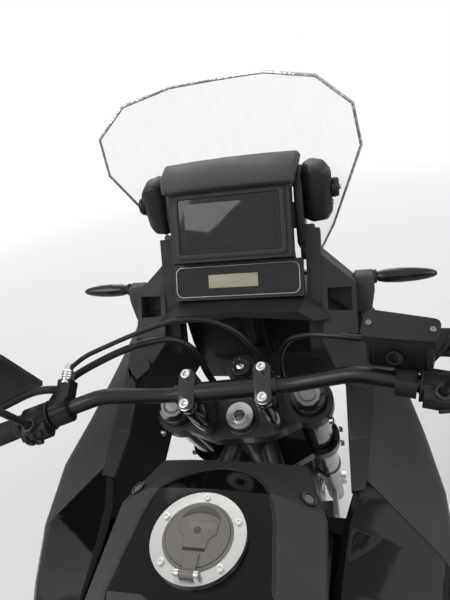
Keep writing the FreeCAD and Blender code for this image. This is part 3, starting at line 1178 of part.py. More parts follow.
def indicator(spot, reach, side):
    """Direction indicator: stalk and tapered lamp outwards from a spot."""
    x, y, z = spot
    stalk = cylinder(7, 34, (x, side * y, z), (0, side, 0))
    lamp_body = loft([[(x - 12, side * (y + 30), z - 12), (x + 12, side * (y + 30), z - 12),
                       (x + 12, side * (y + 30), z + 12), (x - 12, side * (y + 30), z + 12)],
                      [(x - 9, side * (y + reach), z - 9), (x + 7, side * (y + reach), z - 9),
                       (x + 7, side * (y + reach), z + 9), (x - 9, side * (y + reach), z + 9)]])
    return union([stalk, lamp_body])


front_lamps = [indicator((552, 196, 1195), 110, side) for side in (-1, 1)]
indicator_stems = [loft([[(544, side * 188, 1130), (560, side * 188, 1130), (560, side * 204, 1130),
                          (544, side * 204, 1130)],
                         [(544, side * 190, 1200), (560, side * 190, 1200), (560, side * 202, 1200),
                          (544, side * 202, 1200)]]) for side in (-1, 1)]
fronts = [main_piece(trimmed(union([lamp_body, stem_body]), [cowl, mirrored(cowl)]))
          for lamp_body, stem_body in zip(front_lamps, indicator_stems)]

# Seats, tail, rear mudguard, lamp and carrier
seat_front = stations([
    (52, symmetric([(0, 872), (60, 870), (96, 846), (96, 800), (0, 800)])),
    (-60, symmetric([(0, 852), (84, 850), (132, 826), (132, 792), (0, 792)])),
    (-220, symmetric([(0, 850), (100, 850), (154, 830), (154, 792), (0, 792)])),
    (-326, symmetric([(0, 886), (100, 884), (148, 850), (148, 800), (0, 800)]))],
    both_corners(8, {1: 40, 2: 26}))
seat_rear = stations([
    (-330, symmetric([(0, 892), (90, 890), (130, 862), (130, 812), (0, 812)])),
    (-420, symmetric([(0, 922), (96, 920), (134, 890), (134, 816), (0, 816)])),
    (-640, symmetric([(0, 930), (80, 928), (112, 902), (112, 840), (0, 840)]))],
    both_corners(8, {1: 40, 2: 26}))
RAIL_ROOM = tube(UPPER_RAIL, RAIL + GAP, 200)
RAIL_ROOM = Part.makeCompound([RAIL_ROOM, mirrored(RAIL_ROOM)])
seat_front = seat_front.cut(RAIL_ROOM).cut(fuel_tank).cut(tank_cover)
seat_rear = seat_rear.cut(RAIL_ROOM)
node("seat_front", feature("seat_front", seat_front))
node("seat_rear", feature("seat_rear", seat_rear))

tail_side = stations([
    (60, [(103, 838), (128, 834), (134, 770), (122, 700), (112, 700), (103, 738)]),
    (-220, [(105, 789), (156, 788), (162, 756), (140, 690), (128, 690), (105, 774)]),
    (-420, [(108, 814), (152, 818), (158, 800), (146, 740), (134, 740), (108, 790)]),
    (-700, [(106, 860), (124, 862), (136, 846), (124, 796), (114, 796), (106, 827)]),
    (-900, [(93, 865), (104, 865), (108, 856), (102, 828), (96, 828), (93, 846)])], {1: 12, 2: 30, 3: 14})
tail_top = plate_z([(-642, -112), (-642, 112), (-920, 104), (-960, 60), (-960, -60), (-920, -104)], 866, 880)
tail_end = stations([(-900, symmetric([(0, 880), (96, 876), (103, 850), (80, 822), (0, 818)])),
                     (-965, symmetric([(0, 872), (60, 868), (66, 850), (50, 832), (0, 830)]))])
tail_side = main_piece(trimmed(tail_side, [subframe, main_frame, seat_front, seat_rear, fuel_tank]))
tail_parts = [tail_side, mirrored(tail_side), trimmed(union([tail_top, tail_end]), [subframe, seat_rear])]
fender_plate = plate_y([(-860, 817), (-930, 817), (-1104, 700), (-1167, 560), (-1160, 556), (-1096, 690),
                        (-926, 800), (-860, 800)], -58, 58)
CROSS_RAIL = Vector(-890, 0, 844)
fender_tabs = [Part.makeBox(32, 18, CROSS_RAIL.z - 9 - GAP - 812, Vector(CROSS_RAIL.x - 8, low, 812))
               for low in (30, -48)]
rear_fender = union([fender_plate] + fender_tabs)
node("tail_cowl", feature("tail_cowl", Part.makeCompound(tail_parts + [rear_fender])))
rear_indicators = [indicator((-1010, 58 + GAP, 752), 96, side) for side in (-1, 1)]
rear_lamp = stations([(-965 - GAP, symmetric([(0, 870), (52, 866), (58, 850), (44, 834), (0, 832)])),
                      (-984, symmetric([(0, 864), (44, 860), (50, 850), (38, 838), (0, 836)]))])
node("lamps", feature("lamps", Part.makeCompound([lamp, mirrored(lamp), rear_lamp] + fronts + rear_indicators)))

CARRIER_X, CARRIER_HALF_X, CARRIER_HALF_Y = -820, 70, 60
front_edge, rear_edge = CARRIER_X + 130, CARRIER_X - 110
carrier_plate = plate_z([(front_edge, -92), (front_edge, 92), (rear_edge, 92), (rear_edge - 50, 54),
                         (rear_edge - 50, -54), (rear_edge, -92)], 950, 958)
for dx in (-CARRIER_HALF_X, CARRIER_HALF_X):
    for dy in (-CARRIER_HALF_Y, CARRIER_HALF_Y):
        carrier_plate = carrier_plate.cut(cylinder(3.3, 20, (CARRIER_X + dx, dy, 944), (0, 0, 1)))
carrier_slots = [Part.makeBox(150, 22, 20, Vector(CARRIER_X - 75, y, 944)) for y in (-34, 12)]
carrier_plate = carrier_plate.cut(Part.makeCompound(carrier_slots))
carrier_legs = [cylinder(8, 951 - 881, (x, y, 880 + GAP), (0, 0, 1))
                for x in (front_edge - 22, rear_edge + 30) for y in (-78, 78)]
handle = tube([(front_edge, 84, 954), (-570, 172, 942), (-440, 174, 900), (-420, 143, 862),
               (-420, 143, 819)], 9, 50)
handles = [handle, mirrored(handle)]
rear_carrier = trimmed(union([carrier_plate] + carrier_legs + handles), [subframe, seat_rear])
node("rear_carrier", feature("rear_carrier", rear_carrier))

# Footrests, pedals and pillion brackets
rider_pegs = []
for side in (-1, 1):
    hanger = plate_y([(-52, 330), (-100, 330), (-112, 400), (-40, 410)], PLATE_OUT + GAP, PLATE_OUT + 10)
    peg = union([cylinder(9, 26, (-76, PLATE_OUT + 8, 362), (0, 1, 0)),
                 Part.makeBox(44, 88, 18, Vector(-98, PLATE_OUT + 32, 353))])
    hanger = union([hanger, peg])
    rider_pegs.append(hanger if side > 0 else mirrored(hanger))
pillion = plate_y([(-330, 700), (-432, 722), (-416, 560), (-372, 480), (-344, 484), (-352, 600)],
                  98 + RAIL - 1 + GAP, 98 + RAIL + 7)
pillion = union([pillion, cylinder(11, 92, (-360, 98 + RAIL + 4, 498), (0, 1, 0))])
pillions = [pillion, mirrored(pillion)]
brake_pedal = union([cylinder(9, 14, (-62, -PLATE_OUT - 10 - GAP - 14, 345), (0, 1, 0)),
                     tube([(-62, -142, 345), (30, -160, 330), (112, -160, 330)], 6),
                     Part.makeBox(34, 40, 9, Vector(100, -186, 326))])
shift_lever = union([cylinder(8, 14, (-62, PLATE_OUT + 10 + GAP, 345), (0, 1, 0)),
                     tube([(-62, 142, 345), (20, 152, 322), (104, 156, 318)], 5),
                     cylinder(7, 36, (104, 152, 318), (0, 1, 0))])
footrests = [rest.cut(exhaust) for rest in rider_pegs + pillions] + [brake_pedal, shift_lever]
node("footrests", feature("footrests", Part.makeCompound(footrests)))

# Stands
LEG_HALF, STAND_TUBE = size("stand_leg_half"), size("stand_tube_radius")
FOOT_X = STAND_X + size("stand_foot_ahead")


def stand_leg(side):
    """Leg from the pivot tube down to its foot pad."""
    leg = tube([(STAND_X, side * 88, STAND_Z - 34), (STAND_X + 2, side * 88, STAND_Z - 72),
                (STAND_X + 6, side * LEG_HALF, STAND_Z - 132), (FOOT_X, side * LEG_HALF, 6)], STAND_TUBE, 60)
    foot_low = LEG_HALF - 12 if side > 0 else -LEG_HALF - 22
    foot = Part.makeBox(62, 34, 12, Vector(FOOT_X - 16, foot_low, 0))
    return union([leg, foot])


stand_lugs = [plate_y([(STAND_X - 18, STAND_Z + 16), (STAND_X + 18, STAND_Z + 16), (STAND_X + 20, STAND_Z - 52),
                       (STAND_X - 20, STAND_Z - 52)], low, low + 10) for low in (-96, 86)]
stand_cross = across(STAND_TUBE - 3, 94, STAND_X, STAND_Z - 40)
centre_stand = union([stand_leg(1), stand_leg(-1), stand_cross] + stand_lugs)
centre_stand = centre_stand.cut(across(8 + FIT, 300, STAND_X, STAND_Z))
node("centre_stand", feature("centre_stand", centre_stand))

leg_end = SIDE_X - size("side_leg_length")
side_leg = tube([(SIDE_X, SIDE_Y, SIDE_Z), (leg_end, SIDE_Y + 22, SIDE_Z - 4)], size("side_leg_radius"))
side_foot = Part.makeBox(12, 60, 44, Vector(leg_end - 10, SIDE_Y - 8, SIDE_Z - 26))
side_eye = cylinder(18, 26, (SIDE_X, SIDE_Y - 11, SIDE_Z), (0, 1, 0))
side_stand = union([side_leg, side_foot, side_eye]).cut(cylinder(7 + FIT, 80, (SIDE_X, SIDE_Y - 40, SIDE_Z),
                                                                 (0, 1, 0)))
node("side_stand", feature("side_stand", side_stand))

# Ignition switch and cables on the steering
ignition = union([cylinder(size("ignition_radius"), 8, (size("ignition_ahead"), 0, size("clamp_top") - 3 + GAP),
                           (0, 0, 1)),
                  cylinder(size("ignition_radius") - 6, 3, (size("ignition_ahead"), 0, size("clamp_top") + 5),
                           (0, 0, 1))])
node("ignition_switch", feature("ignition_switch", ignition), STEERED)
CLAMP_FACE = size("clamp_top") + GAP
CABLES = [
    (3.5, [(28, 234, 1310), (50, 232, 1314), (66, 206, 1320), (78, 168, 1323), (94, 122, 1323), (108, 70, 1321),
           (110, 22, 1312), (98, -18, 1286), (78, -40, 1250), (62, -45, 1216), (62, -45, CLAMP_FACE)]),
    (5.5, [(-6, 268, 1296), (14, 267, 1288), (36, 256, 1287), (52, 232, 1291), (62, 200, 1299), (76, 160, 1303),
           (90, 116, 1300), (98, 76, 1284), (86, 52, 1250), (66, 47, 1216), (66, 47, CLAMP_FACE)]),
    (4.0, [(47, -218, 1313), (50, -196, 1313), (58, -164, 1312), (70, -126, 1304), (77, -92, 1284),
           (70, -74, 1250), (57, -70, 1216), (57, -70, CLAMP_FACE)])]
cables = [main_piece(trimmed(tube(route, radius), controls + switches)) for radius, route in CABLES]
node("cables", feature("cables", Part.makeCompound(cables)), STEERED)

# Export
doc.recompute()
for thing in doc.Objects:
    if "Invalid" in thing.State or "Error" in thing.State:
        raise RuntimeError("failed object " + thing.Label)
os.makedirs("parts", exist_ok=True)
for thing in NODES:
    shape = thing.Shape
    if shape.isNull() or not shape.isValid():
        raise RuntimeError("bad shape " + thing.Label)
    shape.exportStep("parts/%s.step" % thing.Label)
    print(thing.Label, len(shape.Solids), round(shape.Volume / 1000.0, 1))
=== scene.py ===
import json
import math

import bmesh
import bpy
from mathutils import Matrix, Vector


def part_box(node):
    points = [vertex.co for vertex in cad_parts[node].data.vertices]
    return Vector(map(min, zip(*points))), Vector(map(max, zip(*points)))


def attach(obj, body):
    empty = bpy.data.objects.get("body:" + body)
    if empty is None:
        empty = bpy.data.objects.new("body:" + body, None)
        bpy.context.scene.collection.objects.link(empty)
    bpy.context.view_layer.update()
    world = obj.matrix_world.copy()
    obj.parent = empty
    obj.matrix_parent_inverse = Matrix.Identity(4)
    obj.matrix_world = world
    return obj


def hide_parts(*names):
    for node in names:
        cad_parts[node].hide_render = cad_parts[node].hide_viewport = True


bl_info = {
    "name": "Adventure Motorcycle",
    "version": (1, 0, 0),
    "blender": (4, 5, 0),
    "location": "View3D > Sidebar > Motorcycle",
    "description": "Dresses the packed motorcycle with fittings and finishes",
    "category": "Object",
}

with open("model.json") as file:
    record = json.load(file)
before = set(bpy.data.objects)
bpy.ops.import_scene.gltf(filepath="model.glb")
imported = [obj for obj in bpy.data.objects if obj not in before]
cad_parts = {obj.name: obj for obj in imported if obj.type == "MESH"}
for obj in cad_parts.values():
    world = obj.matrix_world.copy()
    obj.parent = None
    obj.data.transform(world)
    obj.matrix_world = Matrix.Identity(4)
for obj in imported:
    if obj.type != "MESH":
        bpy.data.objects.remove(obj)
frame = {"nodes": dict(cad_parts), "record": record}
NODES = frame["nodes"]
BODIES = frame["record"]["behaviour"]["bodies"]
NODE_BODY = {node: body for body, nodes in BODIES.items() for node in nodes}
NODE_SLOT = {row["node"]: row["material_slot"] for row in frame["record"]["subparts"]}
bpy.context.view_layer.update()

# Places, in metres: x ahead, y left, z up
RAKE = math.radians(27.5)
STEER_REST = math.radians(5.5)
STEERING = (Matrix.Translation((0.933, 0, 0)) @ Matrix.Rotation(-RAKE, 4, "Y")
            @ Matrix.Rotation(STEER_REST, 4, "Z"))
FRONT_AXLE = STEERING @ Matrix.Translation((0.347 * math.sin(RAKE) - 0.113 * math.cos(RAKE), 0,
                                            0.347 * math.cos(RAKE) + 0.113 * math.sin(RAKE)))
REAR_AXLE = Matrix.Translation((-0.755, 0, 0.349))
HERE = Matrix.Identity(4)
SHOULDER = 0.68                 # Height of a tyre's crown as a share of its half width
FOOT = 0.012                    # Start of a tyre's side wall above its bead
ARCH = (0.16, 0.121, 0.081)     # Gloss panel's arch on the tank cover: start, reach ahead, half width
CAP = (0.157, 1.108)            # Fuel cap's middle ahead, and the top of its lid
RESERVOIR = [(30, -183), (11, -268), (40, -279), (66, -197)]    # Lid corners on the steering, in millimetres
RESERVOIR_TOP = 1362            # Height of the lid's underside on the steering, in millimetres
FORK = (23, 106)                # Fork tubes ahead and to each side of the steering axis, in millimetres
CLAMP = (9.7, 53.6, 21.5)       # Bar clamps ahead and to each side, and their bolts' reach, in millimetres
BAR_UP = 1281                   # Height of the seam between the bar clamps' halves, in millimetres
SIDES = (-1, 1)                 # Right and left


# Node maths

class Flow:
    """Number that runs through a material's nodes."""

    def __init__(self, tree, socket):
        self.tree = tree
        self.socket = socket

    def maths(self, operation, *items):
        """Result of a Math node on these items, which are numbers or flows."""
        node = self.tree.nodes.new("ShaderNodeMath")
        node.operation = operation
        for slot, item in zip(node.inputs, items):
            if isinstance(item, Flow):
                self.tree.links.new(item.socket, slot)
            else:
                slot.default_value = item
        return Flow(self.tree, node.outputs[0])

    def __add__(self, other):
        return self.maths("ADD", self, other)

    def __sub__(self, other):
        return self.maths("SUBTRACT", self, other)

    def __mul__(self, other):
        return self.maths("MULTIPLY", self, other)

    def __truediv__(self, other):
        return self.maths("DIVIDE", self, other)

    def __rsub__(self, other):
        return self.maths("SUBTRACT", other, self)

    def __pow__(self, other):
        return self.maths("POWER", self, other)

    def __lt__(self, other):
        return self.maths("LESS_THAN", self, other)

    def __gt__(self, other):
        return self.maths("GREATER_THAN", self, other)

    def __abs__(self):
        return self.maths("ABSOLUTE", self)

    __radd__ = __add__
    __rmul__ = __mul__

    def wave(self, pitch):
        """Smooth swing between 0 and 1 that repeats every pitch metres."""
        angle = self * (2 * math.pi / pitch)
        return self.maths("SINE", angle) * 0.5 + 0.5


class Finish:
    """Procedural material: a shader with its plain values, and nodes that vary them."""

    def __init__(self, name, colour, roughness=0.5, metallic=0.0, coat=0.0, alpha=1.0, specular=0.5):
        self.material = bpy.data.materials.new(name)
        self.material.use_nodes = True
        self.tree = self.material.node_tree
        self.shader = self.tree.nodes["Principled BSDF"]
        plain = {"Base Color": (*colour, 1.0), "Roughness": roughness, "Metallic": metallic,
                 "Coat Weight": coat, "Alpha": alpha, "Specular IOR Level": specular}
        for socket, number in plain.items():
            self.shader.inputs[socket].default_value = number
        self.shader.inputs["Coat Roughness"].default_value = 0.06
        self.material.diffuse_color = (*colour, 1.0)

    def node(self, kind, settings=None, **sockets):
        """New node with its settings made first, and then its sockets filled or linked."""
        node = self.tree.nodes.new(kind)
        for name, value in (settings or {}).items():
            setattr(node, name, value)
        for name, value in sockets.items():
            slot = node.inputs[name.replace("_", " ")]
            if isinstance(value, Flow):
                self.tree.links.new(value.socket, slot)
            else:
                slot.default_value = value
        return node

    def place(self, stretch=None):
        """Point of the surface on the object, optionally stretched."""
        where = Flow(self.tree, self.node("ShaderNodeTexCoord").outputs["Object"])
        if stretch:
            where = Flow(self.tree, self.node("ShaderNodeMapping", Vector=where, Scale=stretch).outputs[0])
        return where

    def axes(self, matrix=None):
        """The three coordinates of the point, in a turned frame where one is given."""
        where = self.place()
        if matrix is not None:
            turn = matrix.inverted()
            mapping = self.node("ShaderNodeMapping", Vector=where, Location=turn.to_translation(),
                                Rotation=turn.to_euler())
            where = Flow(self.tree, mapping.outputs[0])
        split = self.node("ShaderNodeSeparateXYZ", Vector=where)
        return [Flow(self.tree, output) for output in split.outputs]

    def noise(self, scale, detail=3.0, stretch=None):
        """Cloudy variation between 0 and 1."""
        node = self.node("ShaderNodeTexNoise", Vector=self.place(stretch), Scale=scale, Detail=detail)
        return Flow(self.tree, node.outputs["Fac"])

    def cells(self, scale):
        """Distance to the nearest of scattered points."""
        node = self.node("ShaderNodeTexVoronoi", {"feature": "F1"}, Vector=self.place(), Scale=scale)
        return Flow(self.tree, node.outputs["Distance"])

    def ramp(self, value, low, high, start=0.0, end=1.0):
        """Value spread from low and high to start and end, and held there."""
        node = self.node("ShaderNodeMapRange", {"clamp": True}, Value=value)
        for name, number in (("From Min", low), ("From Max", high), ("To Min", start), ("To Max", end)):
            node.inputs[name].default_value = number
        return Flow(self.tree, node.outputs[0])

    def mix(self, factor, first, second):
        """Colour between two colours or flows of colour."""
        node = self.node("ShaderNodeMix", {"data_type": "RGBA"})
        for slot, value in ((node.inputs[0], factor), (node.inputs[6], first), (node.inputs[7], second)):
            if isinstance(value, Flow):
                self.tree.links.new(value.socket, slot)
            else:
                slot.default_value = (*value[:3], 1.0) if isinstance(value, tuple) else value
        return Flow(self.tree, node.outputs[2])

    def feed(self, socket, value):
        """Links a flow to one of the shader's varying sockets."""
        self.tree.links.new(value.socket, self.shader.inputs[socket])
        return self

    def bump(self, height, depth):
        """Small relief of a depth in metres."""
        node = self.node("ShaderNodeBump", Height=height, Strength=1.0, Distance=depth)
        return self.feed("Normal", Flow(self.tree, node.outputs[0]))

    def clouds(self, scale, detail, low, high, start=0.0, end=1.0):
        """Noise spread from low and high to start and end."""
        return self.ramp(self.noise(scale, detail), low, high, start, end)

    def weather(self, cloud, share, under, over, rough, relief=None):
        """Colour that goes from under to over in clouds, uneven roughness and small relief."""
        self.feed("Base Color", self.mix(self.clouds(*cloud) * share, under, over))
        self.feed("Roughness", self.clouds(*rough))
        if relief:
            self.bump(self.noise(*relief[:2]), relief[2])
        return self

    def reach(self, base, first, second):
        """Distance from an axis, across two of the base's own coordinates."""
        axes = self.axes(base)
        square = axes[first] * axes[first] + axes[second] * axes[second]
        return square.maths("SQRT", square)


def shade(colour, share):
    """Colour made darker or lighter."""
    return tuple(min(1.0, part * share) for part in colour)


# Finishes

def moulded(name, colour, roughness=0.55, grain=0.00006, pitch=900):
    """Moulded plastic with a fine grain, dusty in patches."""
    return Finish(name, colour, roughness, specular=0.25).weather(
        (9.0, 5.0, 0.45, 0.75), 0.5, shade(colour, 0.92), shade(colour, 1.3),
        (30.0, 3.0, 0.3, 0.7, roughness - 0.07, roughness + 0.1), (pitch, 2.0, grain))


def painted(name, colour, roughness=0.3, coat=0.6):
    """Paint with a clear coat, faint orange peel and light dust."""
    return Finish(name, colour, roughness, coat=coat * 0.6, specular=0.25).weather(
        (14.0, 6.0, 0.5, 0.8), 0.3, colour, shade(colour, 1.8),
        (60.0, 3.0, 0.35, 0.7, roughness, roughness + 0.12), (160.0, 2.0, 0.00004))


def cast(name, colour, roughness=0.5, metallic=0.7):
    """Painted casting with a pebbled skin and grime in cloudy patches."""
    return Finish(name, colour, roughness, metallic=metallic).weather(
        (18.0, 6.0, 0.42, 0.72), 0.6, colour, shade(colour, 0.55),
        (45.0, 3.0, 0.3, 0.7, roughness - 0.08, roughness + 0.15), (420.0, 4.0, 0.00018))


def rubber(name, colour, roughness=0.72):
    """Rubber with a dry bloom and road dust."""
    return Finish(name, colour, roughness, specular=0.2).weather(
        (11.0, 6.0, 0.4, 0.75), 0.5, colour, (0.075, 0.07, 0.062),
        (70.0, 3.0, 0.3, 0.7, roughness - 0.1, roughness + 0.12), (700.0, 3.0, 0.00008))


def bare_metal(name, colour, roughness=0.32, brush=(30, 30, 900), stain=0.35):
    """Metal with brushing along one direction and faint stains."""
    finish = Finish(name, colour, roughness, metallic=1.0)
    line = finish.noise(1.0, 3.0, brush)
    brushed = finish.mix(line * 0.5, colour, shade(colour, 0.72))
    stains = finish.clouds(22.0, 5.0, 0.4, 0.75) * stain
    finish.feed("Base Color", finish.mix(stains, brushed, shade(colour, 0.6)))
    finish.feed("Roughness", finish.ramp(line, 0.3, 0.7, roughness - 0.06, roughness + 0.14))
    return finish.bump(line, 0.00003)


def wheel_metal(name, axle, rim_radius, hub_radius):
    """Dark rim, bright spokes and dark hub, told apart by distance from the axle."""
    finish = Finish(name, (0.1, 0.1, 0.105), 0.34, metallic=0.9)
    reach = finish.reach(axle, 0, 2)
    dark = (reach > rim_radius) + (reach < hub_radius)
    metal = finish.mix(dark, (0.62, 0.62, 0.63), (0.035, 0.035, 0.038))
    return finish.weather((20.0, 5.0, 0.45, 0.8), 0.4, metal, (0.09, 0.08, 0.07),
                          (60.0, 3.0, 0.3, 0.7, 0.28, 0.45), (300.0, 3.0, 0.00005))


def disc_metal(name, axle):
    """Steel swept by pads in rings about the axle."""
    finish = Finish(name, (0.55, 0.55, 0.56), 0.28, metallic=1.0)
    rings = finish.reach(axle, 0, 2).wave(0.0011) * 0.5 + finish.noise(40.0) * 0.5
    finish.feed("Base Color", finish.mix(rings, (0.6, 0.6, 0.61), (0.4, 0.39, 0.39)))
    finish.feed("Roughness", finish.ramp(rings, 0.2, 0.8, 0.2, 0.38))
    return finish.bump(rings, 0.00004)


def turned_metal(name, colour, base):
    """Metal turned on a lathe, with fine rings about the base's upright axis."""
    finish = Finish(name, colour, 0.26, metallic=1.0)
    rings = finish.reach(base, 0, 1).wave(0.0007)
    stains = finish.clouds(60.0, 4.0, 0.45, 0.75) * 0.5
    finish.feed("Base Color", finish.mix(stains, colour, shade(colour, 0.6)))
    finish.feed("Roughness", finish.ramp(rings, 0.0, 1.0, 0.18, 0.34))
    return finish.bump(rings, 0.00002)


def pipe_metal(name):
    """Stainless pipe, straw and blue where it leaves the cylinders, dull by the silencer."""
    finish = Finish(name, (0.5, 0.48, 0.46), 0.3, metallic=1.0)
    heat = finish.ramp(finish.axes()[0] + finish.noise(8.0) * 0.12, 0.15, 0.45)
    tint = finish.mix(finish.clouds(14.0, 4.0, 0.35, 0.7), (0.42, 0.3, 0.17), (0.2, 0.19, 0.3))
    steel = finish.mix(heat * 0.75, (0.44, 0.43, 0.42), tint)
    finish.weather((30.0, 5.0, 0.5, 0.8), 0.4, steel, (0.16, 0.14, 0.12), (80.0, 4.0, 0.3, 0.7, 0.2, 0.42))
    return finish.bump(finish.noise(1.0, 2.0, (40, 400, 400)), 0.00003)


def two_tone(finish, colour, tones, gloss_colour, gloss, sheen, seam, groove):
    """Grained plastic with a gloss black part and a dark seam round it."""
    dust = finish.clouds(9.0, 5.0, 0.45, 0.75) * 0.5
    body = finish.mix(dust, shade(colour, tones[0]), shade(colour, tones[1]))
    finish.feed("Base Color", finish.mix(seam, finish.mix(gloss, body, gloss_colour), (groove,) * 3))
    finish.feed("Roughness", finish.ramp(gloss, 0.0, 1.0, 0.52, sheen))
    finish.feed("Coat Weight", gloss * 0.08)
    return finish.bump(finish.noise(900.0, 2.0) * (1 - gloss) - seam * 6.0, 0.00008)


def panelled(name, colour, gloss_colour):
    """Grained tank cover with a gloss black panel round the filler cap."""
    finish = Finish(name, colour, 0.5, specular=0.12)
    x, y, _ = finish.axes()
    side, (start, ahead, half) = abs(y), ARCH
    edge = 0.077 + finish.ramp(x, 0.02, 0.23, 0.016, 0.0)
    arch = ((x - start) / ahead) ** 2 + (side / half) ** 2
    gloss = (side < edge) * (x < start) + (arch < 1.0) * (x > start)
    seam = (abs(side - edge) < 0.0011) * (x < start) + (abs(arch - 1.0) < 0.02) * (x > start)
    return two_tone(finish, colour, (0.94, 1.45), gloss_colour, gloss, 0.08, seam, 0.004)


def wedged(name, colour, gloss_colour):
    """Grained side cowl with a gloss black wedge beside the tank, pointing ahead."""
    finish = Finish(name, colour, 0.5, specular=0.12)
    x, y, z = finish.axes()
    side = abs(y)
    inner_edge = (side - 0.118) * 0.082 - (x - 0.2) * 0.054
    outer_edge = (0.282 - x) * 0.095 - (side - 0.172) * 0.071
    inside = inner_edge.maths("MINIMUM", inner_edge, outer_edge)
    gloss = (inside > 0.0) * (x > 0.05) * (z > 0.93)
    seam = (abs(inside) < 0.00012) * (x > 0.05) * (z > 0.93)
    return two_tone(finish, colour, (0.92, 1.3), gloss_colour, gloss, 0.09, seam, 0.002)


def clear_screen(name):
    """Clear polycarbonate with faint wipe marks."""
    finish = Finish(name, (0.93, 0.95, 0.96), 0.05, alpha=0.09)
    wipe = finish.ramp(finish.noise(1.0, 4.0, (14, 60, 14)), 0.5, 0.9)
    finish.feed("Alpha", finish.ramp(wipe, 0.0, 1.0, 0.07, 0.12))
    return finish.feed("Roughness", finish.ramp(wipe, 0.0, 1.0, 0.03, 0.12))


def corrugated(name, colour):
    """Split plastic tubing over the cables, ribbed along its run."""
    finish = Finish(name, colour, 0.5, specular=0.3)
    x, y, _ = finish.axes()
    ribbed = finish.ramp(y, 0.135, 0.15)
    dust = finish.clouds(20.0, 5.0, 0.45, 0.75) * 0.4
    finish.feed("Base Color", finish.mix(dust, colour, shade(colour, 2.4)))
    finish.feed("Roughness", finish.ramp(ribbed, 0.0, 1.0, 0.32, 0.6))
    return finish.bump((y + x * 0.35).wave(0.0036) * ribbed, 0.0007)


def dark_glass(name, colour=(0.009, 0.009, 0.012)):
    """Dark display glass with faint finger marks."""
    finish = Finish(name, colour, 0.07, specular=0.35)
    mark = finish.clouds(34.0, 6.0, 0.55, 0.85)
    finish.feed("Base Color", finish.mix(mark * 0.3, colour, shade(colour, 2.5)))
    return finish.feed("Roughness", finish.ramp(mark, 0.0, 1.0, 0.05, 0.22))


def clear_lens(name, colour, roughness=0.05):
    """Clear or coloured lamp lens over a bright reflector."""
    finish = Finish(name, colour, roughness, metallic=0.55, coat=1.0)
    cell = finish.cells(160.0)
    finish.feed("Base Color", finish.mix(finish.ramp(cell, 0.1, 0.6), colour, shade(colour, 0.45)))
    return finish.bump(cell, 0.0004)


FINISHES = {}


# Nodes that wear each finish
WEARS = {
    "tyre": "front_tyre rear_tyre", "front_rim": "front_rim", "rear_rim": "rear_rim",
    "front_disc": "front_discs", "rear_disc": "rear_disc", "sprocket": "rear_sprocket",
    "yoke": "fork_clamps", "stem": "steering_stem", "fork_black": "fork_outer_tubes",
    "slider": "fork_sliders", "nut": "front_axle rear_axles", "caliper": "front_calipers rear_caliper",
    "body_plastic": "front_fender nose_cowl tail_cowl", "bar": "handlebar", "grip": "grips",
    "clamp": "bar_clamps", "black_plastic": "hand_controls mirrors ignition_switch", "guard": "hand_guards",
    "cable": "cables", "frame": "main_frame subframe", "arm": "swingarm", "chain": "chain",
    "spring": "rear_shock", "engine": "engine", "radiator": "radiators", "exhaust": "exhaust",
    "skid": "skid_plate", "tank": "fuel_tank", "cover": "tank_cover", "cap": "cap_ring", "lid": "fuel_lid",
    "cowl": "side_cowls", "screen": "windscreen", "display": "display_glass", "trim_plastic": "dash_panels",
    "stay": "cockpit_brackets rear_carrier centre_stand side_stand", "lens": "lamps",
    "seat": "seat_front seat_rear", "footrest": "footrests",
}
NODE_FINISH = {node: finish for finish, nodes in WEARS.items() for node in nodes.split()}


# Settings

class FinishSettings(bpy.types.PropertyGroup):
    """Colours of the painted and moulded pieces."""
    plastic: bpy.props.FloatVectorProperty(name="Plastic", description="Colour of the grained plastic covers",
                                           default=(0.054, 0.052, 0.0495), min=0.0, max=1.0, subtype="COLOR")
    gloss: bpy.props.FloatVectorProperty(name="Gloss", description="Colour of the tank and the gloss panels",
                                         default=(0.005, 0.005, 0.0055), min=0.0, max=1.0, subtype="COLOR")
    lid: bpy.props.FloatVectorProperty(name="Lid", description="Colour of the fuel lid",
                                       default=(0.15, 0.14, 0.128), min=0.0, max=1.0, subtype="COLOR")


class PieceSettings(bpy.types.PropertyGroup):
    """Sizes of the added pieces."""
    tread_height: bpy.props.FloatProperty(
        name="Tread height", description="Height of the tyres' tread blocks",
        default=0.012, min=0.004, max=0.014, unit="LENGTH")
    clamp_bolt: bpy.props.FloatProperty(
        name="Clamp bolt", description="Radius of the handlebar clamp bolts' heads",
        default=0.0068, min=0.004, max=0.009, unit="LENGTH")
    lip_radius: bpy.props.FloatProperty(
        name="Cover lip", description="Radius of the lip round the gloss panel",
        default=0.0017, min=0.0005, max=0.003, unit="LENGTH")


class StageSettings(bpy.types.PropertyGroup):
    """Sizes and light of the stage."""
    floor_size: bpy.props.FloatProperty(name="Floor size", description="Side of the floor", default=30.0,
                                        unit="LENGTH")
    world_light: bpy.props.FloatProperty(name="World light", description="Strength of the even light",
                                         default=0.5, min=0.0)
    key_light: bpy.props.FloatProperty(name="Key light", description="Power of the main lamp in watts",
                                       default=70.0, min=0.0)


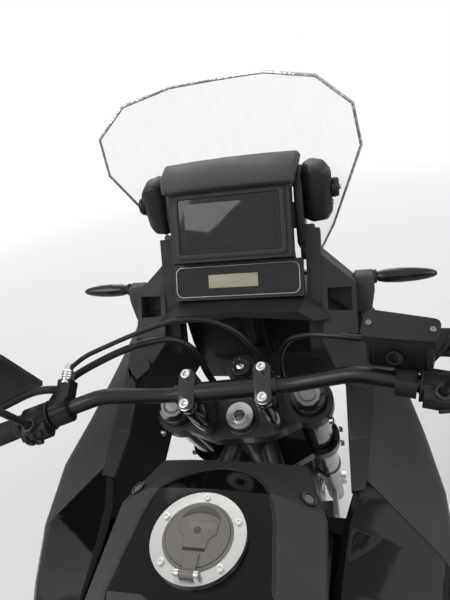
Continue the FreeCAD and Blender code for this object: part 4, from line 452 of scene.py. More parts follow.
def make_finishes(settings):
    """All finishes by name."""
    plastic, gloss, lid = tuple(settings.plastic), tuple(settings.gloss), tuple(settings.lid)
    made = {
        "tyre": rubber("tyre_rubber", (0.02, 0.02, 0.021), 0.8),
        "front_rim": wheel_metal("front_wheel_metal", FRONT_AXLE, 0.246, 0.049),
        "rear_rim": wheel_metal("rear_wheel_metal", REAR_AXLE, 0.208, 0.065),
        "front_disc": disc_metal("front_disc_steel", FRONT_AXLE),
        "rear_disc": disc_metal("rear_disc_steel", REAR_AXLE),
        "sprocket": bare_metal("sprocket_steel", (0.42, 0.41, 0.4)),
        "chain": bare_metal("chain_steel", (0.3, 0.27, 0.22), 0.42, (300, 300, 300), 0.7),
        "clamp": painted("clamp_gloss", (0.006, 0.006, 0.0065), 0.12, 1.0),
        "cap_grey": cast("fork_cap_grey", (0.23, 0.22, 0.21), 0.32, 0.9),
        "yoke": painted("yoke_satin", (0.022, 0.022, 0.024), 0.34, 0.35),
        "zinc": bare_metal("zinc_bolts", (0.62, 0.62, 0.61), 0.26, (200, 200, 200), 0.25),
        "nut": bare_metal("turned_aluminium", (0.68, 0.68, 0.68), 0.24, (40, 40, 700), 0.2),
        "fork_black": painted("fork_gloss", (0.011, 0.011, 0.012), 0.14, 1.0),
        "slider": bare_metal("slider_grey", (0.36, 0.36, 0.37), 0.36, (60, 60, 300)),
        "caliper": painted("caliper_paint", (0.03, 0.03, 0.032), 0.35, 0.3),
        "bar": painted("bar_satin", (0.009, 0.009, 0.0095), 0.3, 0.3),
        "black_plastic": moulded("control_plastic", (0.014, 0.014, 0.015), 0.48),
        "trim_plastic": moulded("trim_plastic", (0.024, 0.023, 0.022), 0.5),
        "guard": moulded("guard_plastic", (0.018, 0.018, 0.019), 0.55),
        "body_plastic": moulded("body_plastic", plastic, 0.5),
        "grip": rubber("grip_rubber", (0.017, 0.017, 0.018), 0.7),
        "cable": corrugated("cable_sleeve", (0.01, 0.01, 0.011)),
        "frame": painted("frame_paint", (0.035, 0.035, 0.038), 0.4, 0.2),
        "arm": bare_metal("arm_aluminium", (0.42, 0.42, 0.43), 0.38, (400, 60, 60)),
        "spring": painted("spring_paint", (0.55, 0.55, 0.55), 0.3, 0.4),
        "engine": cast("engine_casting", (0.12, 0.12, 0.125)),
        "radiator": cast("radiator_black", (0.03, 0.03, 0.032), 0.55, 0.4),
        "exhaust": pipe_metal("pipe_steel"),
        "skid": bare_metal("skid_aluminium", (0.46, 0.46, 0.47), 0.4, (500, 40, 40), 0.5),
        "tank": painted("tank_gloss", gloss, 0.1, 0.25),
        "cover": panelled("tank_cover_plastic", plastic, gloss),
        "cowl": wedged("cowl_plastic", plastic, gloss),
        "stem": turned_metal("stem_turned", (0.5, 0.49, 0.47), STEERING),
        "lcd": painted("lcd_pale", (0.36, 0.345, 0.255), 0.3, 0.2),
        "pane": dark_glass("display_pane"),
        # Near-white finish of the screen edge: painted highlight of the light that the clear edge catches
        "screen_edge": clear_lens("screen_edge", (0.75, 0.78, 0.8), 0.08),
        "cap": bare_metal("cap_brushed", (0.52, 0.52, 0.5), 0.3, (60, 60, 60), 0.2),
        "lid": painted("lid_taupe", lid, 0.34, 0.4),
        # Darker lid colour: painted shade on the crescent that stands for the lid's finger recess, and the
        # darker tone of the flap pivot
        "lid_shade": painted("lid_shade", shade(lid, 0.45), 0.4, 0.2),
        "screen": clear_screen("screen_clear"),
        "display": dark_glass("display_glass"),
        "stay": painted("stay_paint", (0.011, 0.011, 0.012), 0.42, 0.2),
        "lens": dark_glass("lamp_glass"),
        "seat": moulded("seat_vinyl", (0.028, 0.028, 0.03), 0.62, 0.00022, 520),
        "footrest": cast("footrest_alloy", (0.3, 0.3, 0.31), 0.42, 0.9),
        "red": painted("switch_red", (0.42, 0.012, 0.01), 0.35, 0.4),
        "amber": clear_lens("amber_lens", (0.75, 0.2, 0.01)),
        "tail_red": clear_lens("tail_lens_red", (0.4, 0.006, 0.005)),
        "mirror": bare_metal("mirror_glass", (0.82, 0.84, 0.86), 0.03, (4, 4, 4), 0.05),
    }
    FINISHES.update(made)


# Modelling

def deselect():
    """Leaves nothing selected."""
    if bpy.context.object and bpy.context.object.mode != "OBJECT":
        bpy.ops.object.mode_set(mode="OBJECT")
    bpy.ops.object.select_all(action="DESELECT")


def only(piece):
    """Selects one object and makes it the active one."""
    deselect()
    piece.select_set(True)
    bpy.context.view_layer.objects.active = piece
    return piece


def start(kind, **settings):
    """Adds a mesh primitive at the origin and returns it."""
    deselect()
    getattr(bpy.ops.mesh, "primitive_%s_add" % kind)(**settings)
    return bpy.context.object


def pick(piece, test, domain="faces"):
    """Enters edit mode with only the faces or edges selected whose middle and normal pass the test."""
    only(piece)
    bpy.ops.object.mode_set(mode="EDIT")
    bpy.ops.mesh.select_mode(type="FACE" if domain == "faces" else "EDGE")
    bpy.ops.mesh.select_all(action="DESELECT")
    mesh = bmesh.from_edit_mesh(piece.data)
    mesh.normal_update()
    for item in getattr(mesh, domain):
        if domain == "faces":
            item.select_set(test(item.calc_center_median(), item.normal))
        else:
            middle = (item.verts[0].co + item.verts[1].co) / 2
            item.select_set(test(middle, item.verts[1].co - item.verts[0].co))
    mesh.select_flush_mode()
    bmesh.update_edit_mesh(piece.data)


def edit(piece):
    """Enters edit mode with everything selected."""
    only(piece)
    bpy.ops.object.mode_set(mode="EDIT")
    bpy.ops.mesh.select_all(action="SELECT")


def done():
    """Leaves edit mode."""
    bpy.ops.object.mode_set(mode="OBJECT")


def modify(piece, kind, **settings):
    """Adds one modifier and applies it."""
    only(piece)
    modifier = piece.modifiers.new(kind, kind)
    for name, value in settings.items():
        setattr(modifier, name, value)
    bpy.ops.object.modifier_apply(modifier=modifier.name)
    return piece


def soften(piece, width=0.001, segments=2, angle=35.0):
    """Rounds the sharp edges."""
    return modify(piece, "BEVEL", width=width, segments=segments, limit_method="ANGLE",
                  angle_limit=math.radians(angle))


def put(piece, matrix):
    """Moves a mesh's points by a matrix, so that its object stays at the origin."""
    piece.data.transform(matrix)
    piece.data.update()
    return piece


def copy_of(piece, matrix):
    """Copy with its own mesh, moved by a matrix."""
    twin = piece.copy()
    twin.data = piece.data.copy()
    bpy.context.scene.collection.objects.link(twin)
    return put(twin, matrix)


def joined(pieces):
    """One object of several."""
    deselect()
    for piece in pieces:
        piece.select_set(True)
    bpy.context.view_layer.objects.active = pieces[0]
    if len(pieces) > 1:
        bpy.ops.object.join()
    return bpy.context.object


def repeated(piece, matrices):
    """One object of a piece copied to several places."""
    twins = [copy_of(piece, matrix) for matrix in matrices]
    bpy.data.objects.remove(piece)
    return joined(twins)


def mirrored(piece):
    """The piece joined with its twin on the other side of the machine."""
    twin = copy_of(piece, Matrix.Diagonal((1, -1, 1, 1)))
    edit(twin)
    bpy.ops.mesh.flip_normals()
    done()
    return joined([piece, twin])


def dress(piece, name, finish, body, slot=None, angle=40.0, node=None):
    """Names a finished piece, gives it its finish and lets it ride on its body."""
    only(piece)
    bpy.ops.object.transform_apply(location=True, rotation=True, scale=True)
    bpy.ops.object.shade_smooth_by_angle(angle=math.radians(angle))
    piece.name = name
    piece.data.name = name
    piece.data.materials.clear()
    piece.data.materials.append(FINISHES[finish].material)
    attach(piece, body)
    if node:
        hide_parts(*([node] if isinstance(node, str) else node))
    return piece


def at(place, ahead=(1, 0, 0), up=(0, 0, 1), base=HERE):
    """Matrix that puts a piece's z along up and its x towards ahead, at a place of a base."""
    rise = Vector(up).normalized()
    side = rise.cross(Vector(ahead)).normalized()
    front = side.cross(rise)
    turn = Matrix((front, side, rise)).transposed().to_4x4()
    return base @ Matrix.Translation(place) @ turn


def outwards(x, y, z):
    """Places on both sides that face away from the middle."""
    return [at((x, side * y, z), up=(0, side, 0)) for side in SIDES]


def on_steering(ahead, left, up, rise=(0, 0, 1), front=(1, 0, 0)):
    """Matrix of a place on the steering, in millimetres."""
    return at((ahead / 1000, left / 1000, up / 1000), front, rise, STEERING)


def face_outwards():
    """Turns every face of the mesh being edited outwards."""
    bpy.ops.mesh.select_all(action="SELECT")
    bpy.ops.mesh.normals_make_consistent(inside=False)


def merge_flats(piece):
    """Joins the triangles of each flat face."""
    edit(piece)
    bpy.ops.mesh.remove_doubles(threshold=1e-5)
    bpy.ops.mesh.dissolve_limited(angle_limit=math.radians(0.6))
    done()


def meshed(points, edges, faces, outwards=False):
    """Object of one mesh, its faces turned outwards where asked."""
    mesh = bpy.data.meshes.new("profile")
    mesh.from_pydata(points, edges, faces)
    piece = bpy.data.objects.new("profile", mesh)
    bpy.context.scene.collection.objects.link(piece)
    only(piece)
    if outwards:
        edit(piece)
        face_outwards()
        done()
    return piece


def lift(height):
    """Extrudes what is selected along z."""
    bpy.ops.mesh.extrude_region_move(TRANSFORM_OT_translate={"value": (0, 0, height)})


def circles(outer, sides, inner, inner_sides):
    """Flat band between two circles, left in edit mode."""
    piece = start("circle", vertices=sides, radius=outer, location=(0, 0, 0))
    bpy.ops.object.mode_set(mode="EDIT")
    bpy.ops.mesh.primitive_circle_add(vertices=inner_sides, radius=inner, location=(0, 0, 0))
    bpy.ops.mesh.select_all(action="SELECT")
    bpy.ops.mesh.bridge_edge_loops()
    return piece


def bolt(radius, height, socket=0.55, sides=24, hole=6):
    """Round or hexagonal bolt head with a socket, standing on z = 0."""
    def around(middle, run, least):
        return run.cross(middle).length > least * run.length * middle.length

    piece = circles(radius, sides, radius * socket, hole)
    done()
    limit = radius * (socket + 1) / 2
    pick(piece, lambda middle, run: middle.length > limit and around(middle, run, 0.9), "edges")
    lift(-height)
    bpy.ops.mesh.edge_face_add()
    done()
    pick(piece, lambda middle, run: middle.length <= radius * socket * 1.01 and abs(middle.z) < 1e-7
         and around(middle, run, 0.8), "edges")
    lift(-height * 0.6)
    bpy.ops.mesh.edge_face_add()
    face_outwards()
    done()
    put(piece, Matrix.Translation((0, 0, height)))
    return soften(piece, min(radius, height) * 0.16, 2, 50)


def ring(outer, inner, height, sides=40):
    """Flat ring standing on z = 0."""
    piece = circles(outer, sides, inner, sides)
    bpy.ops.mesh.select_all(action="SELECT")
    lift(height)
    face_outwards()
    done()
    return soften(piece, min(height, outer - inner) * 0.2, 2, 40)


def lathe(profile, steps=48):
    """Closed shell spun about Z from radius and height pairs."""
    piece = meshed([(radius, 0, up) for radius, up in profile],
                   [(index, index + 1) for index in range(len(profile) - 1)], [])
    edit(piece)
    bpy.ops.mesh.spin(steps=steps, angle=2 * math.pi, center=(0, 0, 0), axis=(0, 0, 1))
    bpy.ops.mesh.select_all(action="SELECT")
    bpy.ops.mesh.remove_doubles(threshold=1e-6)
    face_outwards()
    done()
    return piece


def slab(length, width, height, radius=0.002, segments=3):
    """Rounded block centred on x and y, standing on z = 0."""
    piece = start("cube", size=1.0)
    put(piece, Matrix.Diagonal((length, width, height, 1)))
    put(piece, Matrix.Translation((0, 0, height / 2)))
    return soften(piece, min(radius, 0.45 * height), segments, 30)


def plate(outline, height, radius=0.0008):
    """Plate from an outline in x and y, standing on z = 0."""
    piece = meshed([(x, y, 0) for x, y in outline], [], [tuple(range(len(outline)))])
    edit(piece)
    lift(height)
    face_outwards()
    done()
    return soften(piece, radius, 2, 30)


def lofted(sections, width=0.0015):
    """Closed solid through outlines with equal numbers of corners, its edges rounded."""
    count = len(sections[0])
    corners = [corner for section in sections for corner in section]
    faces = []
    for row in range(len(sections) - 1):
        for index in range(count):
            after = (index + 1) % count
            faces.append((row * count + index, row * count + after, (row + 1) * count + after,
                          (row + 1) * count + index))
    faces.append(tuple(reversed(range(count))))
    faces.append(tuple(range((len(sections) - 1) * count, len(sections) * count)))
    piece = meshed([Vector(corner) / 1000 for corner in corners], [], faces, True)
    return soften(piece, width, 2, 25) if width else piece


def tube(places, radius, fineness, kind):
    """Round tube along places, through a curve turned into a mesh."""
    curve = bpy.data.curves.new("tube", "CURVE")
    curve.dimensions = "3D"
    curve.bevel_depth = radius
    curve.bevel_resolution = fineness
    curve.use_fill_caps = True
    curve.resolution_u = 8
    spline = curve.splines.new(kind)
    spline.points.add(len(places) - 1)
    for spot, place in zip(spline.points, places):
        spot.co = (*place, 1.0)
    if kind == "NURBS":
        spline.order_u = 3
        spline.use_endpoint_u = True
    holder = bpy.data.objects.new("tube", curve)
    bpy.context.scene.collection.objects.link(holder)
    only(holder)
    bpy.ops.object.convert(target="MESH")
    return bpy.context.object


def hose(points, radius, sides=12):
    """Round tube that follows a smooth line through points."""
    return tube(points, radius, max(1, sides // 4), "NURBS")


def thousandths(points):
    """Points given in millimetres, in metres."""
    return [(x / 1000, y / 1000) for x, y in points]


def arc(middle, radii, turns):
    """Points of an ellipse at some turns, in degrees."""
    return [(middle[0] + radii[0] * math.cos(math.radians(turn)),
             middle[1] + radii[1] * math.sin(math.radians(turn))) for turn in turns]


def rounded(corners, reach, steps=6):
    """Outline whose corners become curves that start a reach away from them."""
    points = []
    for index in range(len(corners)):
        middle, before, after = [Vector(corners[(index + shift) % len(corners)]) for shift in (0, -1, 1)]
        first = middle + (before - middle).normalized() * reach
        last = middle + (after - middle).normalized() * reach
        for step in range(steps + 1):
            share = step / steps
            points.append(first.lerp(middle, share).lerp(middle.lerp(last, share), share))
    return [(point.x, point.y) for point in points]


def rounded_outline(length, width, radius, steps=5):
    """Corners of a rounded rectangle about the origin."""
    points = []
    for x, y, start_turn in ((1, 1, 0), (-1, 1, 90), (-1, -1, 180), (1, -1, 270)):
        for step in range(steps + 1):
            turn = math.radians(start_turn + 90 * step / steps)
            points.append((x * (length / 2 - radius) + radius * math.cos(turn),
                           y * (width / 2 - radius) + radius * math.sin(turn)))
    return points


# Copies that stand for CAD nodes

def moved(piece, change):
    """Gives each point of a mesh the place that a change works out from it."""
    for point in piece.data.vertices:
        point.co = change(point.co.copy())
    return piece


def slim_panels(piece):
    """Inner dash panels narrowed beside the fork, with the socket moved outwards."""
    top, front, outer = 1.14, 0.468, 0.166
    socket = Vector((0.418, 0.152))

    def change(spot):
        x, y, z = spot
        if z > top or x > front:
            return spot
        if (spot.xy - socket).length < 0.0231:
            return spot + Vector((0.014, 0.014, 0.003))
        if abs(y) > outer:
            return spot
        share = 0.88 * min(1.0, (front - x) / 0.07)
        return Vector((x, math.copysign(abs(y) + (outer - abs(y)) * share, y), z))
    return moved(piece, change)


def lean_reservoir(piece):
    """Brake reservoir drawn in to the slimmer outline of its lid, leaning back."""
    inwards = STEERING.inverted()
    middle = sum((Vector(corner) for corner in RESERVOIR), Vector((0, 0))) / 4

    def change(spot):
        ahead, left, up = (inwards @ spot) * 1000
        if up < 1322.5 or not -293 < left < -176 or not -5 < ahead < 85:
            return spot             # Outside the reservoir of the solids
        out, front = 0.5, 0.5       # Shares of the way across the solid, found in a few rounds
        for _ in range(6):
            out = (-left - 177 - 10 * front) / (101 + 4 * front)
            front = (ahead - 10 + 13 * out) / (73 - 2 * out)
        rear_in, rear_out, front_out, front_in = [Vector(corner) for corner in RESERVOIR]
        rear, fore = rear_in.lerp(rear_out, out), front_in.lerp(front_out, out)
        place = rear.lerp(fore, front)
        place = middle.lerp(place, 0.93)
        lean = 0.55 * (RESERVOIR_TOP - up)
        return STEERING @ (Vector((place.x - lean, place.y, up)) / 1000)
    return moved(piece, change)


# Front indicator: place across, half depth and half height, in millimetres
LEAF = [(209, 3.5, 3.5), (211, 6.5, 6.5), (216, 8.5, 8.5), (226, 11, 10.5), (246, 12, 11.5),
        (268, 10.8, 10.5), (286, 8, 8.2), (296, 5, 5.6), (300.5, 2.2, 2.8)]


def leaf(grow, shift, rows):
    """Rounded tapered body along y through rows such as the front indicator's."""
    sections = []
    for y, depth, height in rows:
        outline = arc((552 + shift, 1195), (grow * depth, grow * height), range(0, 360, 24))
        sections.append([(x, y, z) for x, z in outline])
    return lofted(sections, 0)


def leaf_lamps(piece):
    """Front indicators given tapered rounded bodies."""
    pick(piece, lambda middle, normal: middle.x > 0.4 and abs(middle.y) > 0.216)
    bpy.ops.mesh.delete(type="FACE")
    done()
    return joined([piece, mirrored(leaf(1.0, 0.0, LEAF))])


RESHAPED = {"dash_panels": slim_panels, "hand_controls": lean_reservoir, "lamps": leaf_lamps}

# Bevel width of each copied node
EASED = {"side_cowls": 0.003, "nose_cowl": 0.003, "dash_panels": 0.0018, "tank_cover": 0.002,
         "tail_cowl": 0.0025, "hand_controls": 0, "hand_guards": 0.0014, "front_fender": 0.0014,
         "fork_clamps": 0.0022, "engine": 0.0025, "front_calipers": 0.002, "rear_caliper": 0.002,
         "skid_plate": 0.002, "mirrors": 0.0012, "swingarm": 0.0025, "lamps": 0.0012,
         "rear_carrier": 0.0012, "fuel_tank": 0.003}


def eased(name, width):
    """Copy of a CAD node with its sharp edges rounded, which stands for the node."""
    piece = bpy.data.objects.new(name, NODES[name].data.copy())
    bpy.context.scene.collection.objects.link(piece)
    merge_flats(piece)
    if name in RESHAPED:
        piece = RESHAPED[name](piece)
    if width:
        soften(piece, width, 2, 28)
    dress(piece, name + "_skin", NODE_FINISH[name], NODE_BODY[name], NODE_SLOT[name], 40, name)
    return modify(piece, "WEIGHTED_NORMAL", keep_sharp=True)


# Pieces of the handlebar, the tyres and the seats

def bar_place(left):
    """Point on the handlebar's outer run, ahead, left and up in millimetres."""
    share = (abs(left) - 176) / 254
    return Vector((7.7 - 78 * share, left, 1305 + 8 * share))


def bar_run(side):
    """Direction outwards along a handlebar end."""
    return Vector((-78, side * 254, 8)).normalized()


def wall(share, half, bead_half):
    """Half width of a tyre at a share of the way from its bead to its shoulder."""
    return bead_half + (half - bead_half - 0.002) * math.sin(share * math.pi / 2)


def carcass(radius, half, bead, bead_half, drop):
    """Tyre without its tread, spun about its own axle along Y."""
    shoulder, foot = radius - SHOULDER * half, bead + FOOT
    profile = [(bead, -bead_half), (bead + 0.005, -bead_half - 0.002)]
    for step in range(9):
        share = step / 8
        profile.append((foot + (shoulder - foot) * share, -wall(share, half, bead_half)))
    flank = [(reach, -across) for reach, across in reversed(profile)]
    for step in range(1, 12):
        side = -math.cos(math.pi * step / 12)
        profile.append((shoulder + (radius - drop - shoulder) * math.sqrt(max(0.0, 1 - side * side)),
                        side * (half - 0.003)))
    profile += flank
    profile.append(profile[0])
    tyre = lathe(profile, 96)
    return put(tyre, Matrix.Rotation(-math.pi / 2, 4, "X"))


def tread(axle, radius, half, rows, count, height):
    """Tread blocks in rows round a tyre."""
    knobs = []
    shoulder = radius - SHOULDER * half
    for across, length, width, skew, shift in rows:
        share = across / half
        lean = math.asin(max(-1.0, min(1.0, share)))
        reach = shoulder + (radius - shoulder) * math.sqrt(1 - share * share)
        knob = start("cube", size=1.0)
        put(knob, Matrix.Diagonal((length, width, height, 1)))
        pick(knob, lambda middle, normal: normal.z > 0.9)
        bpy.ops.transform.resize(value=(0.86, 0.86, 1.0))
        done()
        put(knob, Matrix.Rotation(skew, 4, "Z") @ Matrix.Translation((0, 0, -height / 2)))
        for index in range(count):
            turn = 2 * math.pi * (index + shift) / count
            place = (axle @ Matrix.Rotation(turn, 4, "Y") @ Matrix.Translation((0, across, reach - 0.0003))
                     @ Matrix.Rotation(-lean * 0.72, 4, "X"))
            knobs.append(copy_of(knob, place))
        bpy.data.objects.remove(knob)
    return joined(knobs)


# Rows of tread blocks: place across, length, width, lean and half a step's shift
TREADS = {
    "front": [(-0.030, 0.022, 0.015, 0.5, 0.0), (-0.0105, 0.026, 0.015, 0.35, 0.5),
              (0.0105, 0.026, 0.015, -0.35, 0.0), (0.030, 0.022, 0.015, -0.5, 0.5)],
    "rear": [(-0.056, 0.030, 0.021, 0.45, 0.0), (-0.033, 0.032, 0.019, 0.35, 0.5),
             (-0.011, 0.034, 0.017, 0.2, 0.0), (0.011, 0.034, 0.017, -0.2, 0.5),
             (0.033, 0.032, 0.019, -0.35, 0.0), (0.056, 0.030, 0.021, -0.45, 0.5)],
}


def about(axle, rows, shift=0.0):
    """Places in circles about an axle: rows give place across, radius, number and the side faced."""
    places = []
    for across, circle, number, way in rows:
        for index in range(number):
            turn = 2 * math.pi * (index + shift) / number
            place = Vector((circle * math.cos(turn), across, -circle * math.sin(turn)))
            places.append(axle @ at(place, up=(0, way, 0)))
    return places


# Place ahead, half width and top of each seat's sections
SEATS = {
    "seat_front": [(0.055, 0.098, 0.870), (-0.060, 0.134, 0.851), (-0.220, 0.156, 0.850),
                   (-0.326, 0.150, 0.885)],
    "seat_rear": [(-0.333, 0.132, 0.891), (-0.420, 0.136, 0.921), (-0.640, 0.114, 0.929)],
}


def cushion(name):
    """Padded seat swollen by cloth simulation from its foam block."""
    source = NODES[name]
    pad = source.copy()
    pad.data = source.data.copy()
    pad.parent = None
    for key in list(pad.keys()):
        del pad[key]
    bpy.context.scene.collection.objects.link(pad)
    edit(pad)
    bpy.ops.mesh.remove_doubles(threshold=1e-5)
    face_outwards()
    done()
    modify(pad, "REMESH", mode="VOXEL", voxel_size=0.0065, use_smooth_shade=True)
    modify(pad, "SMOOTH", factor=0.5, iterations=14)
    before = [point.co.copy() for point in pad.data.vertices]
    cloth = pad.modifiers.new("cloth", "CLOTH")
    cloth.settings.quality = 5
    cloth.settings.mass = 0.3
    cloth.settings.tension_stiffness = 18
    cloth.settings.compression_stiffness = 18
    cloth.settings.bending_stiffness = 0.6
    cloth.settings.use_pressure = True
    cloth.settings.uniform_pressure_force = 3.5
    cloth.settings.effector_weights.gravity = 0
    scene = bpy.context.scene
    for step in range(1, 15):
        scene.frame_set(step)
    deps = bpy.context.evaluated_depsgraph_get()
    after = [point.co.copy() for point in pad.evaluated_get(deps).data.vertices]
    pad.modifiers.remove(cloth)
    scene.frame_set(1)
    for point, old, new in zip(pad.data.vertices, before, after):
        push = new - old
        if push.length > 0.006:
            push = push.normalized() * 0.006
        point.co = old + push
    return pad


# Operators

class MOTORCYCLE_OT_finishes(bpy.types.Operator):
    """Give every CAD node its finish"""
    bl_idname = "motorcycle.finishes"
    bl_label = "Finishes"

    def execute(self, context):
        make_finishes(context.scene.motorcycle_finish)
        for name, item in NODES.items():
            item.data.materials.clear()
            item.data.materials.append(FINISHES[NODE_FINISH[name]].material)
            only(item)
            bpy.ops.object.shade_smooth_by_angle(angle=math.radians(32))
        return {"FINISHED"}


class MOTORCYCLE_OT_skins(bpy.types.Operator):
    """Round the edges of moulded and cast nodes"""
    bl_idname = "motorcycle.skins"
    bl_label = "Rounded nodes"

    def execute(self, context):
        for name, width in EASED.items():
            eased(name, width)
        return {"FINISHED"}


DISPLAY = at((0.520, 0, 1.317), (0.0, 1.0, 0.0), (-math.cos(math.radians(29)), 0, math.sin(math.radians(29))))
LOWER = at((0.507, 0, 1.227), (0.0, 1.0, 0.0), (-math.cos(math.radians(31)), 0, math.sin(math.radians(31))))


class MOTORCYCLE_OT_cockpit(bpy.types.Operator):
    """Display hood, brackets, rims, inner panels, and the screen edge with its painted highlight"""
    bl_idname = "motorcycle.cockpit"
    bl_label = "Cockpit"

    def execute(self, context):
        self.hood()
        self.brackets()
        self.displays()
        self.panels()
        self.screen()
        return {"FINISHED"}

    def hood(self):
        """Visor on the display case."""
        sections = []
        for y, lift in ((-110, -7), (-104, 0), (-55, 2), (0, 3), (55, 2), (104, 0), (110, -7)):
            end = 1 if abs(y) > 105 else 0
            sections.append([(546 + 4 * end, y * 0.9, 1359), (531 + 5 * end, y * 0.9, 1369 + lift * 0.6),
                             (534 + 5 * end, y * 0.92, 1378 + lift * 0.8), (558, y * 0.97, 1388 + lift),
                             (592, y, 1395 + lift), (614, y * 0.96, 1385 + lift), (606, y * 0.9, 1352),
                             (581, y * 0.86, 1342)])
        hood = lofted(sections, 0.0022)
        dress(hood, "display_hood", "body_plastic", "frame", NODE_SLOT["dash_panels"], 40)

    def brackets(self):
        """Screen brackets with their sliders and knobs, and the stay that carries the display."""
        stay = bpy.data.objects.new("stay", NODES["cockpit_brackets"].data.copy())
        bpy.context.scene.collection.objects.link(stay)
        pick(stay, lambda middle, normal: abs(middle.y) > 0.03)
        bpy.ops.mesh.delete(type="FACE")
        done()
        merge_flats(stay)
        soften(stay, 0.002, 2, 28)
        arm = self.slice(0.0025, 96, 109, [(548, 1262), (570, 1244), (604, 1284), (636, 1312), (622, 1352),
                                           (598, 1372), (574, 1364), (556, 1322)])
        slider = lofted([[(x, y, z) for x, z in outline] for y, outline in (
            (108, [(572, 1362), (604, 1372), (628, 1330), (610, 1282), (578, 1290)]),
            (122, [(564, 1372), (602, 1380), (626, 1334), (606, 1276), (568, 1288)]),
            (142, [(566, 1368), (598, 1376), (620, 1332), (600, 1276), (570, 1290)]),
            (152, [(574, 1356), (592, 1362), (608, 1330), (594, 1292), (578, 1302)]))], 0.004)
        knob = lathe([(0, 0), (0.0135, 0), (0.0145, 0.002), (0.0145, 0.009), (0.0125, 0.0115),
                      (0, 0.0115)], 40)
        put(knob, at((0.590, 0.151, 1.333), up=(0, 1, 0)))
        ribs = lathe([(0.0135, 0.0), (0.0155, 0.0018), (0.0135, 0.0036)], 40)
        put(ribs, at((0.590, 0.154, 1.333), up=(0, 1, 0)))
        foot = hose([(0.606, 0.128, 1.330), (0.622, 0.128, 1.330), (0.634, 0.128, 1.330)], 0.007)
        washer = lathe([(0, 0), (0.012, 0), (0.011, 0.003), (0, 0.004)], 28)
        put(washer, at((0.6295, 0.128, 1.330), up=(1, 0, 0)))
        lug = self.slice(0.0015, 88, 98, [(554, 1286), (578, 1278), (584, 1316), (562, 1326)])
        link = self.slice(0.003, 100, 124, [(540, 1240), (560, 1228), (580, 1276), (560, 1290)])
        both = mirrored(joined([arm, slider, knob, ribs, foot, washer, lug, link]))
        dress(joined([both, stay]), "screen_brackets", "stay", "frame", NODE_SLOT["cockpit_brackets"], 40,
              "cockpit_brackets")
        places = outwards(0.592, 0.1505, 1.309) + outwards(0.592, 0.1625, 1.333)
        dress(repeated(bolt(0.0045, 0.003), places), "bracket_bolts", "zinc", "frame", "cap_metal")

    def slice(self, edge, near, far, outline):
        """Plate between two places across, from an outline ahead and up."""
        return lofted([[(x, y, z) for x, z in outline] for y in (near, far)], edge)

    def displays(self):
        """Raised rims, the inner pane and the pale window of the lower display."""
        self.rim(DISPLAY, (0.172, 0.099, 0.006), (0.1575, 0.0845, 0.004), 0.0022, "display_rim",
                 "trim_plastic")
        self.pane(DISPLAY, (0.140, 0.069, 0.002), 0.0006, -0.001, "display_pane", "pane")
        self.rim(LOWER, (0.2, 0.0495, 0.011), (0.1965, 0.046, 0.0095), 0.0016, "lower_rim", "cap_grey")
        self.pane(LOWER, (0.080, 0.021, 0.001), 0.0007, 0.0055, "lower_window", "lcd")

    def rim(self, base, outer, inner, height, name, finish):
        """Raised rim of a display, between two rounded rectangles."""
        rim = put(self.band(rounded_outline(*outer), rounded_outline(*inner), height), base)
        dress(rim, name, finish, "frame", NODE_SLOT["dash_panels"])

    def pane(self, base, outline, height, shift, name, finish):
        """Window of a display, moved along its width."""
        pane = plate(rounded_outline(*outline), height, 0.0002)
        put(pane, base @ Matrix.Translation((shift, 0, 0)))
        dress(pane, name, finish, "frame", NODE_SLOT["display_glass"])

    def band(self, outer, inner, height):
        """Frame between two outlines of equal corners, standing on z = 0."""
        count = len(outer)
        corners = [(x, y, 0) for x, y in outer] + [(x, y, 0) for x, y in inner]
        corners += [(x, y, height) for x, y in outer] + [(x, y, height) for x, y in inner]
        faces = []
        for index in range(count):
            after = (index + 1) % count
            faces.append((index, index + count, after + count, after))
            faces.append((index + 2 * count, after + 2 * count, after + 3 * count, index + 3 * count))
            faces.append((index, after, after + 2 * count, index + 2 * count))
            faces.append((index + count, index + 3 * count, after + 3 * count, after + count))
        return soften(meshed(corners, [], faces, True), height * 0.25, 2, 40)

    def panels(self):
        """Inner wall behind the steering head and the strip between the displays."""
        wall = lofted([[(x, -half, z), (x, half, z), (inside, half, under), (inside, -half, under)]
                       for x, inside, half, z, under in (
                           (556, 560, 112, 1188, 1184), (604, 604, 128, 1176, 1171),
                           (626, 621, 150, 1100, 1100), (640, 635, 152, 1010, 1010),
                           (648, 643, 148, 966, 966), (656, 651, 142, 926, 926),
                           (661, 656, 138, 900, 900))], 0.001)
        dress(wall, "nose_inner_wall", "black_plastic", "frame", NODE_SLOT["dash_panels"])
        strip = lofted([[(528, -93, 1244), (528, 93, 1244), (544, 93, 1234), (544, -93, 1234)],
                        [(534, -91, 1262), (534, 91, 1262), (552, 91, 1252), (552, -91, 1252)]], 0.002)
        dress(strip, "display_gap_strip", "black_plastic", "frame", NODE_SLOT["dash_panels"])

    def screen(self):
        """Rounded edge round the clear screen, near white as a painted highlight of the light that the clear
        edge catches.
        """
        rows = [(722, 1128, 96, 24), (690, 1250, 150, 44), (644, 1395, 196, 66), (622, 1455, 186, 60),
                (606, 1494, 140, 34), (600, 1507, 70, 10)]
        left = [(x - sweep - 2, half, z) for x, z, half, sweep in rows]
        x, z, half, sweep = rows[-1]
        over = [(x - 2 - sweep * (share * share), half * share, z) for share in (0.5, 0.0, -0.5)]
        right = [(x, -y, z) for x, y, z in reversed(left)]
        edge = tube([Vector(place) / 1000 for place in left + over + right], 0.0023, 2, "POLY")
        dress(edge, "screen_edge", "screen_edge", "frame", NODE_SLOT["windscreen"])


